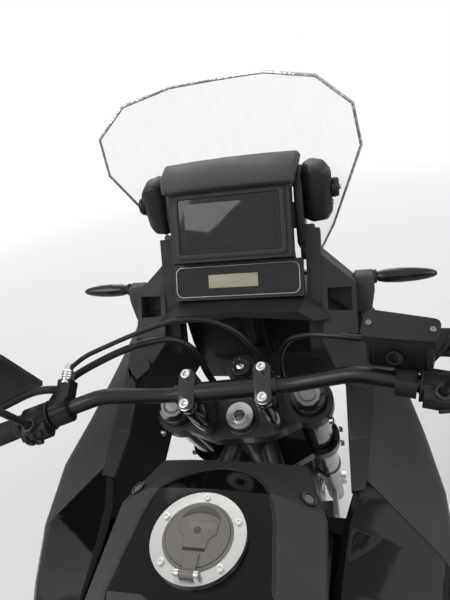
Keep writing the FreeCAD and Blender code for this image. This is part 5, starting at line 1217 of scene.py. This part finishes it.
class MOTORCYCLE_OT_clamps(bpy.types.Operator):
    """Bolts, caps and nuts that show on the steering head"""
    bl_idname = "motorcycle.clamps"
    bl_label = "Steering head fittings"

    def execute(self, context):
        self.bar_clamps(context.scene.motorcycle_pieces.clamp_bolt)
        self.fork_tops()
        self.stem()
        self.ignition()
        return {"FINISHED"}

    def bar_clamps(self, head):
        """Clamp blocks with round ends, and their bolts and washers."""
        ahead, left, reach = CLAMP
        for piece, up, name, finish in ((bolt(head, 0.0075), 14.5, "clamp_bolts", "zinc"),
                                        (ring(0.0088, 0.005, 0.0018), 13, "clamp_washers", "nut")):
            spots = [on_steering(ahead + shift, side * left, BAR_UP + up)
                     for shift in (-reach, reach) for side in SIDES]
            dress(repeated(piece, spots), name, finish, "steering", "stem_metal")
        ends = arc((0, 0), (0.00962, 0.0125), [15 * step + 7.5 for step in range(24)])
        outline = [(x + math.copysign(0.0215, x), y) for x, y in ends]
        blocks = [put(plate(outline, (high - low) / 1000, 0.0025), Matrix.Translation((0, 0, low / 1000)))
                  for low, high in ((1178.2, 1280.2), (BAR_UP, BAR_UP + 15))]
        spots = [on_steering(ahead, side * left, 0) for side in SIDES]
        dress(repeated(joined(blocks), spots), "handlebar_clamps", "clamp", "steering", "black_metal", 40,
              "bar_clamps")

    def fork_tops(self):
        """Cap, adjuster and rim on top of both fork tubes."""
        adjuster = lathe([(0.0, 0.0), (0.0125, 0.0), (0.0115, 0.002), (0.0, 0.0026)], 24)
        for piece, up, name, finish, slot in (
                (bolt(0.0205, 0.005, 0.72, 10, 24), 1201.4, "fork_caps", "cap_grey", "slider_metal"),
                (adjuster, 1203, "fork_adjusters", "cap_grey", "stem_metal"),
                (ring(0.0269, 0.0235, 0.003), 1192, "fork_cap_rims", "fork_black", "black_metal")):
            spots = [on_steering(FORK[0], side * FORK[1], up) for side in SIDES]
            dress(repeated(piece, spots), name, finish, "steering", slot)

    def stem(self):
        """Washer and stepped nut of the stem, and the pinch bolts of both fork clamps."""
        washer = put(ring(0.026, 0.0215, 0.0028, 48), on_steering(0, 0, 1178))
        dress(washer, "stem_washer", "yoke", "steering", "black_metal")
        tiers = joined([ring(0.0188, 0.0128, 0.0016, 48), ring(0.0126, 0.0082, 0.0034, 36)])
        dress(put(tiers, on_steering(0, 0, 1194)), "stem_nut_tiers", "stem", "steering", "stem_metal")
        pinches = [on_steering(-8, side * 132.3, 1162, (0, side, 0.15)) for side in SIDES]
        pinches += [on_steering(ahead, side * 143, 956, (0, side, 0)) for side in SIDES for ahead in (10, 36)]
        dress(repeated(bolt(0.0055, 0.007), pinches), "yoke_pinch_bolts", "zinc", "steering", "stem_metal")

    def ignition(self):
        """Barrel, collar and marks of the ignition switch, and a dark slab on the barrel as painted shade of
        its key slot.
        """
        barrel = lathe([(0, -0.002), (0.0064, -0.002), (0.0064, 0.001), (0.0056, 0.0016), (0, 0.0016)], 28)
        marks = [on_steering(86, 0, 1188.3) @ Matrix.Rotation(math.radians(turn), 4, "Z")
                 @ Matrix.Translation((0.0125, 0, 0)) for turn in (-60, 0, 60, 118)]
        for piece, spots, name, finish, slot in (
                (barrel, [on_steering(86, 0, 1186.6)], "ignition_barrel", "nut", "stem_metal"),
                (ring(0.0172, 0.0078, 0.0024, 40), [on_steering(86, 0, 1185.8)], "ignition_collar",
                 "black_plastic", "black_plastic"),
                (slab(0.0032, 0.0009, 0.0003, 0.0001), marks, "ignition_marks", "lcd", "black_plastic"),
                # Dark slab for the key slot: painted shade of the hole in the barrel
                (slab(0.0095, 0.0022, 0.0006, 0.0002), [on_steering(86, 0, 1188.1, front=(0.6, 0.8, 0))],
                 "ignition_key_slot", "grip", "grip_rubber")):
            dress(repeated(piece, spots), name, finish, "steering", slot)


class MOTORCYCLE_OT_grips(bpy.types.Operator):
    """Ribbed grips at both ends of the handlebar"""
    bl_idname = "motorcycle.grips"
    bl_label = "Grips"

    def execute(self, context):
        length = 0.1325
        profile = [(0.0113, 0.0005), (0.0163, 0.0005), (0.0164, 0.006), (0.0146, 0.0075)]
        rib = 0.0125
        while rib < length - 0.012:
            swell = 0.0148 + 0.0012 * math.sin(math.pi * rib / length)
            profile += [(swell - 0.0009, rib), (swell, rib + 0.0006), (swell, rib + 0.0018),
                        (swell - 0.0009, rib + 0.0024)]
            rib += 0.0042
        profile += [(0.0146, length - 0.006), (0.016, length - 0.004), (0.016, length - 0.0006),
                    (0.0113, length - 0.0006)]
        grip = lathe(profile + [profile[0]], 36)
        spots = [on_steering(*bar_place(side * 291), rise=bar_run(side)) for side in SIDES]
        dress(repeated(grip, spots), "ribbed_grips", "grip", "steering", "grip_rubber", 50, "grips")
        return {"FINISHED"}


class MOTORCYCLE_OT_controls(bpy.types.Operator):
    """Switches, reservoir lid and lever fittings"""
    bl_idname = "motorcycle.controls"
    bl_label = "Hand controls"

    def execute(self, context):
        self.switches()
        self.reservoir()
        self.fixings()
        return {"FINISHED"}

    def switches(self):
        """Keys, rockers and buttons of both switch housings, with their seams."""
        spots = []
        for out, ahead, up in ((256, -13, 12), (266, -13, 12), (276, -13, 12), (260, -15, 1), (272, -15, 1)):
            rise = Vector((ahead, 0, up)).normalized()
            middle = bar_place(out) + Vector((-15, 0, 0)) + rise * 16.2
            spots.append(on_steering(*middle, rise=rise, front=bar_run(1)))
        dress(repeated(slab(0.0082, 0.0078, 0.0034, 0.0013), spots), "left_switch_keys", "guard", "steering",
              "black_plastic")
        button = lathe([(0, 0), (0.0062, 0), (0.0062, 0.003), (0.005, 0.0042), (0, 0.0046)], 24)
        stop, begin = slab(0.018, 0.0105, 0.0048, 0.002), slab(0.013, 0.0085, 0.0034, 0.0016)
        for piece, name, finish, left, back, rise, front in (
                (button, "horn_button", "yoke", 266, 15, (-1, 0, -0.55), (1, 0, 0)),
                (stop, "stop_switch", "guard", -270, 13, (-0.45, 0, 1), bar_run(-1)),
                (begin, "start_switch", "guard", -268, 13, (-1, 0, 0.1), bar_run(-1))):
            rise = Vector(rise).normalized()
            middle = bar_place(left) + Vector((-back, 0, 0)) + rise * 15.8
            dress(put(piece, on_steering(*middle, rise=rise, front=front)), name, finish, "steering",
                  "black_plastic")
        seams = [on_steering(*bar_place(side * 249), rise=bar_run(side)) for side in SIDES]
        dress(repeated(ring(0.0216, 0.0175, 0.0022, 40), seams), "housing_collars", "guard", "steering",
              "black_plastic")

    def reservoir(self):
        """Lid, screws and sight glass of the brake fluid reservoir."""
        lid = plate(thousandths(rounded(RESERVOIR, 10)), 0.0026, 0.0008)
        dress(put(lid, on_steering(0, 0, RESERVOIR_TOP)), "reservoir_lid", "guard", "steering", "black_metal")
        screws = [on_steering(x, y, RESERVOIR_TOP + 2.4) for x, y in ((46, -197), (28, -266))]
        dress(repeated(bolt(0.0036, 0.0018, 0.55, 18, 4), screws), "reservoir_screws", "cap_grey", "steering",
              "stem_metal")
        sight = on_steering(8.8, -221.5, 1340, rise=(-0.86, 0.19, 0.47))
        rim = put(ring(0.0098, 0.0075, 0.0024, 32), sight)
        dress(rim, "sight_rim", "guard", "steering", "stem_metal")
        glass = put(lathe([(0, 0), (0.0076, 0), (0.0072, 0.0012), (0, 0.0018)], 24), sight)
        dress(glass, "sight_glass", "lens", "steering", "lamp_clear")

    def fixings(self):
        """Clutch adjuster, lever pivots and perch bolts."""
        profile = [(0.0, 0.0), (0.0078, 0.0)]
        for up in (0, 0.003, 0.006, 0.009, 0.012):
            profile += [(0.0078, up + 0.001), (0.0068, up + 0.0018), (0.0068, up + 0.003)]
        profile += [(0.0055, 0.0165), (0.0042, 0.024), (0.0, 0.024)]
        barrel = put(lathe(profile, 24), Matrix.Scale(1.22, 4))
        put(barrel, on_steering(30.5, 233.8, 1310.4, rise=(0.985, -0.09, 0.15)))
        dress(barrel, "clutch_adjuster", "nut", "steering", "stem_metal")
        pivots, clamps = [], []
        for side in SIDES:
            root = bar_place(side * 236) + Vector((34, 0, 2))
            pivots.append(on_steering(*root))
            for up in (-9, 9):
                spot = bar_place(side * 234) + Vector((-17.5, 0, up))
                clamps.append(on_steering(*spot, rise=(-1, 0, 0)))
        heads = repeated(bolt(0.0056, 0.0048, 0.5, 6, 6), pivots)
        dress(heads, "lever_pivots", "zinc", "steering", "stem_metal")
        dress(repeated(bolt(0.0036, 0.0045), clamps), "perch_bolts", "zinc", "steering", "stem_metal")


class MOTORCYCLE_OT_mirrors(bpy.types.Operator):
    """Mirror glass and the nuts on the stems"""
    bl_idname = "motorcycle.mirrors"
    bl_label = "Mirrors"

    def execute(self, context):
        panes, nuts = [], []
        for side in SIDES:
            root = bar_place(side * 268) + Vector((-14, 0, 16))
            tip = root + Vector((8, side * 96, 146))
            outline = thousandths(rounded([(-46, -28), (80, -21), (75, 38), (-40, 30)], 14))
            pane = plate([(side * y, z) for y, z in outline], 0.0012, 0.0003)
            turn = at((tip.x / 1000 - 0.004, tip.y / 1000, tip.z / 1000), (0, 1, 0), (-1, 0, 0), STEERING)
            panes.append(put(pane, turn))
            nuts.append(on_steering(*(root + Vector((0, 0, -1)))))
        dress(joined(panes), "mirror_panes", "mirror", "steering", "black_plastic")
        nuts = repeated(bolt(0.0105, 0.009, 0.5, 6, 24), nuts)
        dress(nuts, "mirror_nuts", "yoke", "steering", "black_metal")
        return {"FINISHED"}


class MOTORCYCLE_OT_filler(bpy.types.Operator):
    """Screws, lid trim and lock of the fuel cap"""
    bl_idname = "motorcycle.filler"
    bl_label = "Fuel cap"

    def execute(self, context):
        cap, top = CAP
        rim = arc((cap, 0), (0.0466, 0.0466), (0, 66, -66, 135, -136))
        screws = repeated(bolt(0.0042, 0.0022, 0.5, 20, 6), [at((x, y, 1.1063)) for x, y in rim])
        dress(screws, "cap_ring_screws", "zinc", "frame", "cap_metal")
        bead = put(ring(0.04, 0.0366, 0.0012, 64), at((cap, 0, 1.1062)))
        dress(bead, "cap_ring_bead", "lid", "frame", "cap_metal")
        # Dark crescent plate on the lid: painted shade where the real lid has a finger recess
        recess_shade = arc((12, 0), (22.5, 24), range(70, -71, -10))
        recess_shade += arc((12, 0), (13.5, 24), range(-66, 67, 12))
        fan = [(13.5, 23), (15.5, 8), (15.8, -8), (14.5, -21), (2, -21.5), (-4, -14), (-15.5, -12.5),
               (-15.5, 12.5), (-4, 14.5), (4, 22.5)]
        recess_shade, flap = plate(thousandths(recess_shade), 0.0006, 0.0002), plate(thousandths(fan), 0.0016, 0.0006)
        pivot = lathe([(0, 0), (0.0042, 0), (0.0042, 0.0004), (0.0034, 0.0007), (0, 0.0007)], 28)
        gap = slab(0.0024, 0.0245, 0.0009, 0.0003)
        for piece, place, name, finish, slot in (
                (recess_shade, (cap, 0, top), "lid_arc", "lid_shade", "lid_paint"),
                (flap, (cap, 0, top), "keyhole_flap", "lid", "lid_paint"),
                (pivot, (0.161, 0.001, 1.1095), "flap_pivot", "lid_shade", "cap_metal"),
                (gap, (0.1398, 0.0003, top), "flap_slot", "grip", "grip_rubber")):
            dress(put(piece, at(place)), name, finish, "fuel_lid", slot)
        head = lathe([(0, 0), (0.0032, 0), (0.0028, 0.0012), (0, 0.0014)], 20)
        heads = repeated(head, outwards(0.113, 0.0128, 1.111))
        dress(heads, "hinge_pin_heads", "cap_grey", "frame", "cap_metal")
        places = [at((0.238, side * 0.1125, 1.0672), up=(0.15, side * 0.5, 1)) for side in SIDES]
        rings = repeated(ring(0.0102, 0.0068, 0.0026, 40), places)
        dress(rings, "cover_screw_rings", "fork_black", "frame", "body_plastic")
        screws = repeated(bolt(0.0062, 0.0016, 0.5, 28, 6), places)
        dress(screws, "tank_cover_screws", "cap_grey", "frame", "cap_metal")
        self.lip(context.scene.motorcycle_pieces.lip_radius)
        return {"FINISHED"}

    def lip(self, radius):
        """Raised lip of the tank cover round the gloss panel."""
        cover = bpy.data.objects["tank_cover_skin"]
        left = [(x, 0.093 - 0.016 * (x - 0.02) / 0.21) for x in (0.035, 0.07, 0.11, 0.14)]
        arch = [(ARCH[0] + ARCH[1] * math.sin(math.radians(turn)), ARCH[2] * math.cos(math.radians(turn)))
                for turn in range(0, 181, 9)]
        line = []
        for x, y in left + arch + [(x, -y) for x, y in reversed(left)]:
            hit, spot, normal, _ = cover.ray_cast(Vector((x, y, 1.2)), Vector((0, 0, -1)))
            if hit:
                line.append(spot + normal * 0.0003)
        dress(hose(line, radius, 12), "tank_cover_lip", "trim_plastic", "frame", NODE_SLOT["tank_cover"])


class MOTORCYCLE_OT_tyres(bpy.types.Operator):
    """Tyres with road and gravel tread"""
    bl_idname = "motorcycle.tyres"
    bl_label = "Tyres"

    def execute(self, context):
        height = context.scene.motorcycle_pieces.tread_height
        for name, axle, radius, half, bead, bead_half, count in (
                ("front", FRONT_AXLE, 0.347, 0.045, 0.268, 0.029, 56),
                ("rear", REAR_AXLE, 0.334, 0.075, 0.23, 0.049, 46)):
            body = name + "_wheel"
            tyre = put(carcass(radius, half, bead, bead_half, 0.007), axle)
            dress(tyre, name + "_carcass", "tyre", body, "tyre", 40, name + "_tyre")
            knobs = tread(axle, radius, half, TREADS[name], count, height)
            dress(knobs, name + "_tread", "tyre", body, "tyre", 30, name + "_tyre")
            lines = []
            for side in SIDES:
                for reach in (bead + 0.016, bead + 0.030):
                    line = start("torus", major_radius=reach, minor_radius=0.0009, major_segments=72,
                                 minor_segments=6)
                    share = (reach - bead - FOOT) / (radius - SHOULDER * half - bead - FOOT)
                    width = side * wall(share, half, bead_half)
                    lines.append(put(line, axle @ Matrix.Translation((0, width, 0))
                                     @ Matrix.Rotation(math.pi / 2, 4, "X")))
            dress(joined(lines), name + "_sidewall_lines", "tyre", body, "tyre")
        return {"FINISHED"}


class MOTORCYCLE_OT_wheels(bpy.types.Operator):
    """Spoke nipples, hub trim and disc fixings"""
    bl_idname = "motorcycle.wheels"
    bl_label = "Wheel fittings"

    def execute(self, context):
        for name, axle, reach, across, buttons, bolts in (
                ("front", FRONT_AXLE, 0.2497, 0.0085, [(0.0685, 0.104, 8, 1), (-0.0685, 0.104, 8, -1)],
                 [(0.0685, 0.05, 6, 1), (-0.0685, 0.05, 6, -1)]),
                ("rear", REAR_AXLE, 0.2117, 0.0135, [(-0.091, 0.082, 6, -1)],
                 [(-0.091, 0.054, 6, -1), (0.1015, 0.047, 6, 1)])):
            body = name + "_wheel"
            nipple = lathe([(0, -0.012), (0.0029, -0.012), (0.0034, -0.004), (0.0045, 0), (0, 0)], 8)
            spots = []
            for index in range(32):
                side = 1 if index % 2 == 0 else -1
                turn = -2 * math.pi * index / 32 + math.pi / 2
                spots.append(axle @ Matrix.Rotation(turn, 4, "Y")
                             @ Matrix.Translation((0, side * across, reach)))
            dress(repeated(nipple, spots), name + "_nipples", "zinc", body, "rim")
            dress(repeated(ring(0.0085, 0.0045, 0.0016, 24), about(axle, buttons)), name + "_disc_buttons",
                  "zinc", body, "disc_steel")
            dress(repeated(bolt(0.0062, 0.004), about(axle, bolts, 0.5)), name + "_disc_bolts", "zinc", body,
                  "disc_steel")
        return {"FINISHED"}


class MOTORCYCLE_OT_seats(bpy.types.Operator):
    """Padded seats with sewn seams"""
    bl_idname = "motorcycle.seats"
    bl_label = "Seats"

    def execute(self, context):
        for name in SEATS:
            pad = cushion(name)
            low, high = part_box(name)
            ceiling = high.z + 0.004
            for point in pad.data.vertices:
                point.co.z = min(point.co.z, ceiling)
                point.co.x = min(max(point.co.x, low.x - 0.003), high.x + 0.003)
            modify(pad, "SUBSURF", levels=1, render_levels=1)
            for item in list(pad.data.attributes):
                if not item.is_required and item.name not in ("sharp_face",):
                    pad.data.attributes.remove(item)
            dress(pad, name + "_cushion", "seat", "frame", "seat_cover", 60, name)
            self.piping(name, pad)
        return {"FINISHED"}

    def piping(self, name, pad):
        """Welt that follows the cushion's upper shoulder on both sides."""
        rows = SEATS[name]
        for side in SIDES:
            line = []
            steps = 26
            first, last = rows[0][0] - 0.02, rows[-1][0] + 0.02
            for step in range(steps + 1):
                x = first + (last - first) * step / steps
                for near, far in zip(rows, rows[1:]):
                    if far[0] <= x <= near[0]:
                        share = (near[0] - x) / (near[0] - far[0])
                        half = near[1] + (far[1] - near[1]) * share
                        top = near[2] + (far[2] - near[2]) * share
                target = Vector((x, side * half * 0.8, top + 0.05))
                hit, spot, normal, _ = pad.ray_cast(target, Vector((0, side * 0.25, -1)).normalized())
                if hit:
                    line.append(spot + normal * 0.0006)
            if len(line) > 4:
                welt = hose(line, 0.0021, 8)
                end = "left" if side > 0 else "right"
                dress(welt, "%s_welt_%s" % (name, end), "grip", "frame", "seat_cover")


class MOTORCYCLE_OT_lamps(bpy.types.Operator):
    """Headlamp reflectors and rims, indicator lenses and fairings, tail lamp"""
    bl_idname = "motorcycle.lamps"
    bl_label = "Lamps"

    def execute(self, context):
        places = [at((0.7842, side * 0.0375, up), up=(1, 0, 0)) for side in SIDES for up in (1.0005, 1.0305)]
        bowl = lathe([(0.0, -0.002), (0.003, -0.001), (0.0035, 0.0), (0.004, -0.001), (0.008, 0.0),
                      (0.0122, 0.0015), (0.0122, 0.0), (0.008, -0.0022), (0.0, -0.0035)], 28)
        dress(repeated(bowl, places), "headlamp_reflectors", "mirror", "frame", "lamp_clear")
        rims = repeated(ring(0.0138, 0.0122, 0.0016, 32), places)
        dress(rims, "headlamp_rims", "nut", "frame", "lamp_clear")
        lenses = mirrored(leaf(0.93, 2.0, [row for row in LEAF if 220 < row[0] < 298]))
        dress(lenses, "front_indicator_lenses", "amber", "frame", "lamp_clear")
        fairing = lofted([[(530, 168, 1142), (574, 168, 1142), (574, 204, 1142), (530, 204, 1142)],
                          [(535, 172, 1178), (570, 172, 1178), (570, 209, 1178), (535, 209, 1178)],
                          [(541, 180, 1203), (564, 180, 1203), (564, 209, 1203), (541, 209, 1203)]], 0.003)
        dress(mirrored(fairing), "indicator_fairings", "body_plastic", "frame", NODE_SLOT["nose_cowl"])
        collars = repeated(ring(0.0108, 0.0062, 0.0045, 32), outwards(0.552, 0.2085, 1.195))
        dress(collars, "indicator_collars", "guard", "frame", NODE_SLOT["nose_cowl"])
        lens = repeated(slab(0.0185, 0.05, 0.0175, 0.004),
                        [Matrix.Translation((-1.0125, side * 0.1195, 0.743)) for side in SIDES])
        dress(lens, "rear_indicator_lenses", "amber", "frame", "lamp_clear")
        tail = put(slab(0.088, 0.026, 0.004, 0.0018), at((-0.9815, 0, 0.85), (0, 1, 0), (-1, 0, 0)))
        dress(tail, "tail_lens", "tail_red", "frame", "lamp_clear")
        dots = [at((-0.9856, y / 1000, 0.85), up=(-1, 0, 0)) for y in range(-36, 37, 9)]
        dot = lathe([(0, 0), (0.003, 0), (0.0024, 0.0008), (0, 0.001)], 14)
        dress(repeated(dot, dots), "tail_dots", "red", "frame", "lamp_clear")
        return {"FINISHED"}


class MOTORCYCLE_OT_stage(bpy.types.Operator):
    """Set the floor, light and camera"""
    bl_idname = "motorcycle.stage"
    bl_label = "Stage"

    def execute(self, context):
        settings = context.scene.motorcycle_stage
        floor = start("plane", size=settings.floor_size, location=(0, 0, -0.0005))
        bpy.ops.object.transform_apply(location=True)
        floor.name = "floor"
        pale = Finish("pale_floor", (0.8, 0.8, 0.79), 0.9)
        mottle = pale.noise(3.0, 4.0)
        pale.feed("Base Color", pale.mix(mottle, (0.78, 0.78, 0.77), (0.82, 0.82, 0.81)))
        self.fade(pale)
        floor.data.materials.append(pale.material)
        self.light_world(context, settings.world_light)
        for name, place, share in (("key_lamp", (-1.6, 2.2, 3.6), 1.0), ("fill_lamp", (-0.8, -2.8, 2.8), 0.5),
                                   ("front_lamp", (3.2, 0.6, 3.0), 0.6)):
            lamp = bpy.data.lights.new(name, "AREA")
            lamp.energy = settings.key_light * share
            lamp.size = 2.4
            holder = bpy.data.objects.new(name, lamp)
            holder.location = place
            aim = Vector((0.2, 0, 0.8)) - Vector(place)
            holder.rotation_euler = aim.to_track_quat("-Z", "Y").to_euler()
            context.scene.collection.objects.link(holder)
        self.place_camera(context)
        context.scene.view_settings.view_transform = "Standard"
        return {"FINISHED"}

    def fade(self, pale):
        """Far floor that turns white before the camera, so that no horizon shows."""
        reach = pale.reach(None, 0, 1)
        seen = Flow(pale.tree, pale.node("ShaderNodeLightPath").outputs["Is Camera Ray"])
        glow = pale.node("ShaderNodeEmission", Color=(1, 1, 1, 1), Strength=1.0)
        blend = pale.node("ShaderNodeMixShader", Fac=pale.ramp(reach, 1.6, 5.0) * seen)
        pale.tree.links.new(pale.shader.outputs[0], blend.inputs[1])
        pale.tree.links.new(glow.outputs[0], blend.inputs[2])
        pale.tree.links.new(blend.outputs[0], pale.tree.nodes["Material Output"].inputs["Surface"])

    def light_world(self, context, strength):
        """Even grey light, and a white background for the camera, gloss and glass."""
        world = bpy.data.worlds.new("studio")
        world.use_nodes = True
        tree = world.node_tree
        background = tree.nodes["Background"]
        background.inputs["Color"].default_value = (1, 1, 1, 1)
        path = tree.nodes.new("ShaderNodeLightPath")
        seen = Flow(tree, path.outputs["Is Camera Ray"])
        seen = seen.maths("MAXIMUM", seen, Flow(tree, path.outputs["Is Glossy Ray"]))
        seen = seen.maths("MAXIMUM", seen, Flow(tree, path.outputs["Is Transmission Ray"]))
        level = seen * (1.0 - strength) + strength
        tree.links.new(level.socket, background.inputs["Strength"])
        context.scene.world = world

    def place_camera(self, context):
        """Camera at the rider's place, as in the photograph."""
        camera = bpy.data.cameras.new("rider_view")
        camera.sensor_fit = "VERTICAL"
        camera.sensor_height = 36.0
        camera.lens = 28.43
        camera.clip_start = 0.01
        holder = bpy.data.objects.new("rider_view", camera)
        right = Vector((0.19613, -0.96509, -0.17361))
        up = Vector((0.53174, -0.04408, 0.84576))
        ahead = Vector((0.82389, 0.25819, -0.50453))
        turn = Matrix((right, up, -ahead)).transposed().to_4x4()
        holder.matrix_world = Matrix.Translation((-0.1268, -0.1735, 1.5796)) @ turn
        context.scene.collection.objects.link(holder)
        context.scene.camera = holder


class MOTORCYCLE_PT_panel(bpy.types.Panel):
    """Buttons for each group of pieces"""
    bl_label = "Motorcycle"
    bl_idname = "MOTORCYCLE_PT_panel"
    bl_space_type = "VIEW_3D"
    bl_region_type = "UI"
    bl_category = "Motorcycle"

    def draw(self, context):
        for name, group in GROUPS:
            for setting in group.__annotations__:
                self.layout.prop(getattr(context.scene, name), setting)
        for operator in STEPS:
            self.layout.operator(operator.bl_idname)


GROUPS = [("motorcycle_finish", FinishSettings), ("motorcycle_pieces", PieceSettings),
          ("motorcycle_stage", StageSettings)]
STEPS = [MOTORCYCLE_OT_finishes, MOTORCYCLE_OT_skins, MOTORCYCLE_OT_cockpit, MOTORCYCLE_OT_clamps,
         MOTORCYCLE_OT_grips, MOTORCYCLE_OT_controls, MOTORCYCLE_OT_mirrors, MOTORCYCLE_OT_filler,
         MOTORCYCLE_OT_tyres, MOTORCYCLE_OT_wheels,
         MOTORCYCLE_OT_seats, MOTORCYCLE_OT_lamps, MOTORCYCLE_OT_stage]


def register():
    for _, group in GROUPS:
        bpy.utils.register_class(group)
    for name, group in GROUPS:
        setattr(bpy.types.Scene, name, bpy.props.PointerProperty(type=group))
    for operator in STEPS:
        bpy.utils.register_class(operator)
    bpy.utils.register_class(MOTORCYCLE_PT_panel)


def unregister():
    bpy.utils.unregister_class(MOTORCYCLE_PT_panel)
    for operator in reversed(STEPS):
        bpy.utils.unregister_class(operator)
    for name, group in reversed(GROUPS):
        delattr(bpy.types.Scene, name)
        bpy.utils.unregister_class(group)


def main():
    register()
    for operator in STEPS:
        group, name = operator.bl_idname.split(".")
        getattr(getattr(bpy.ops, group), name)()


if __name__ == "__main__":
    main()
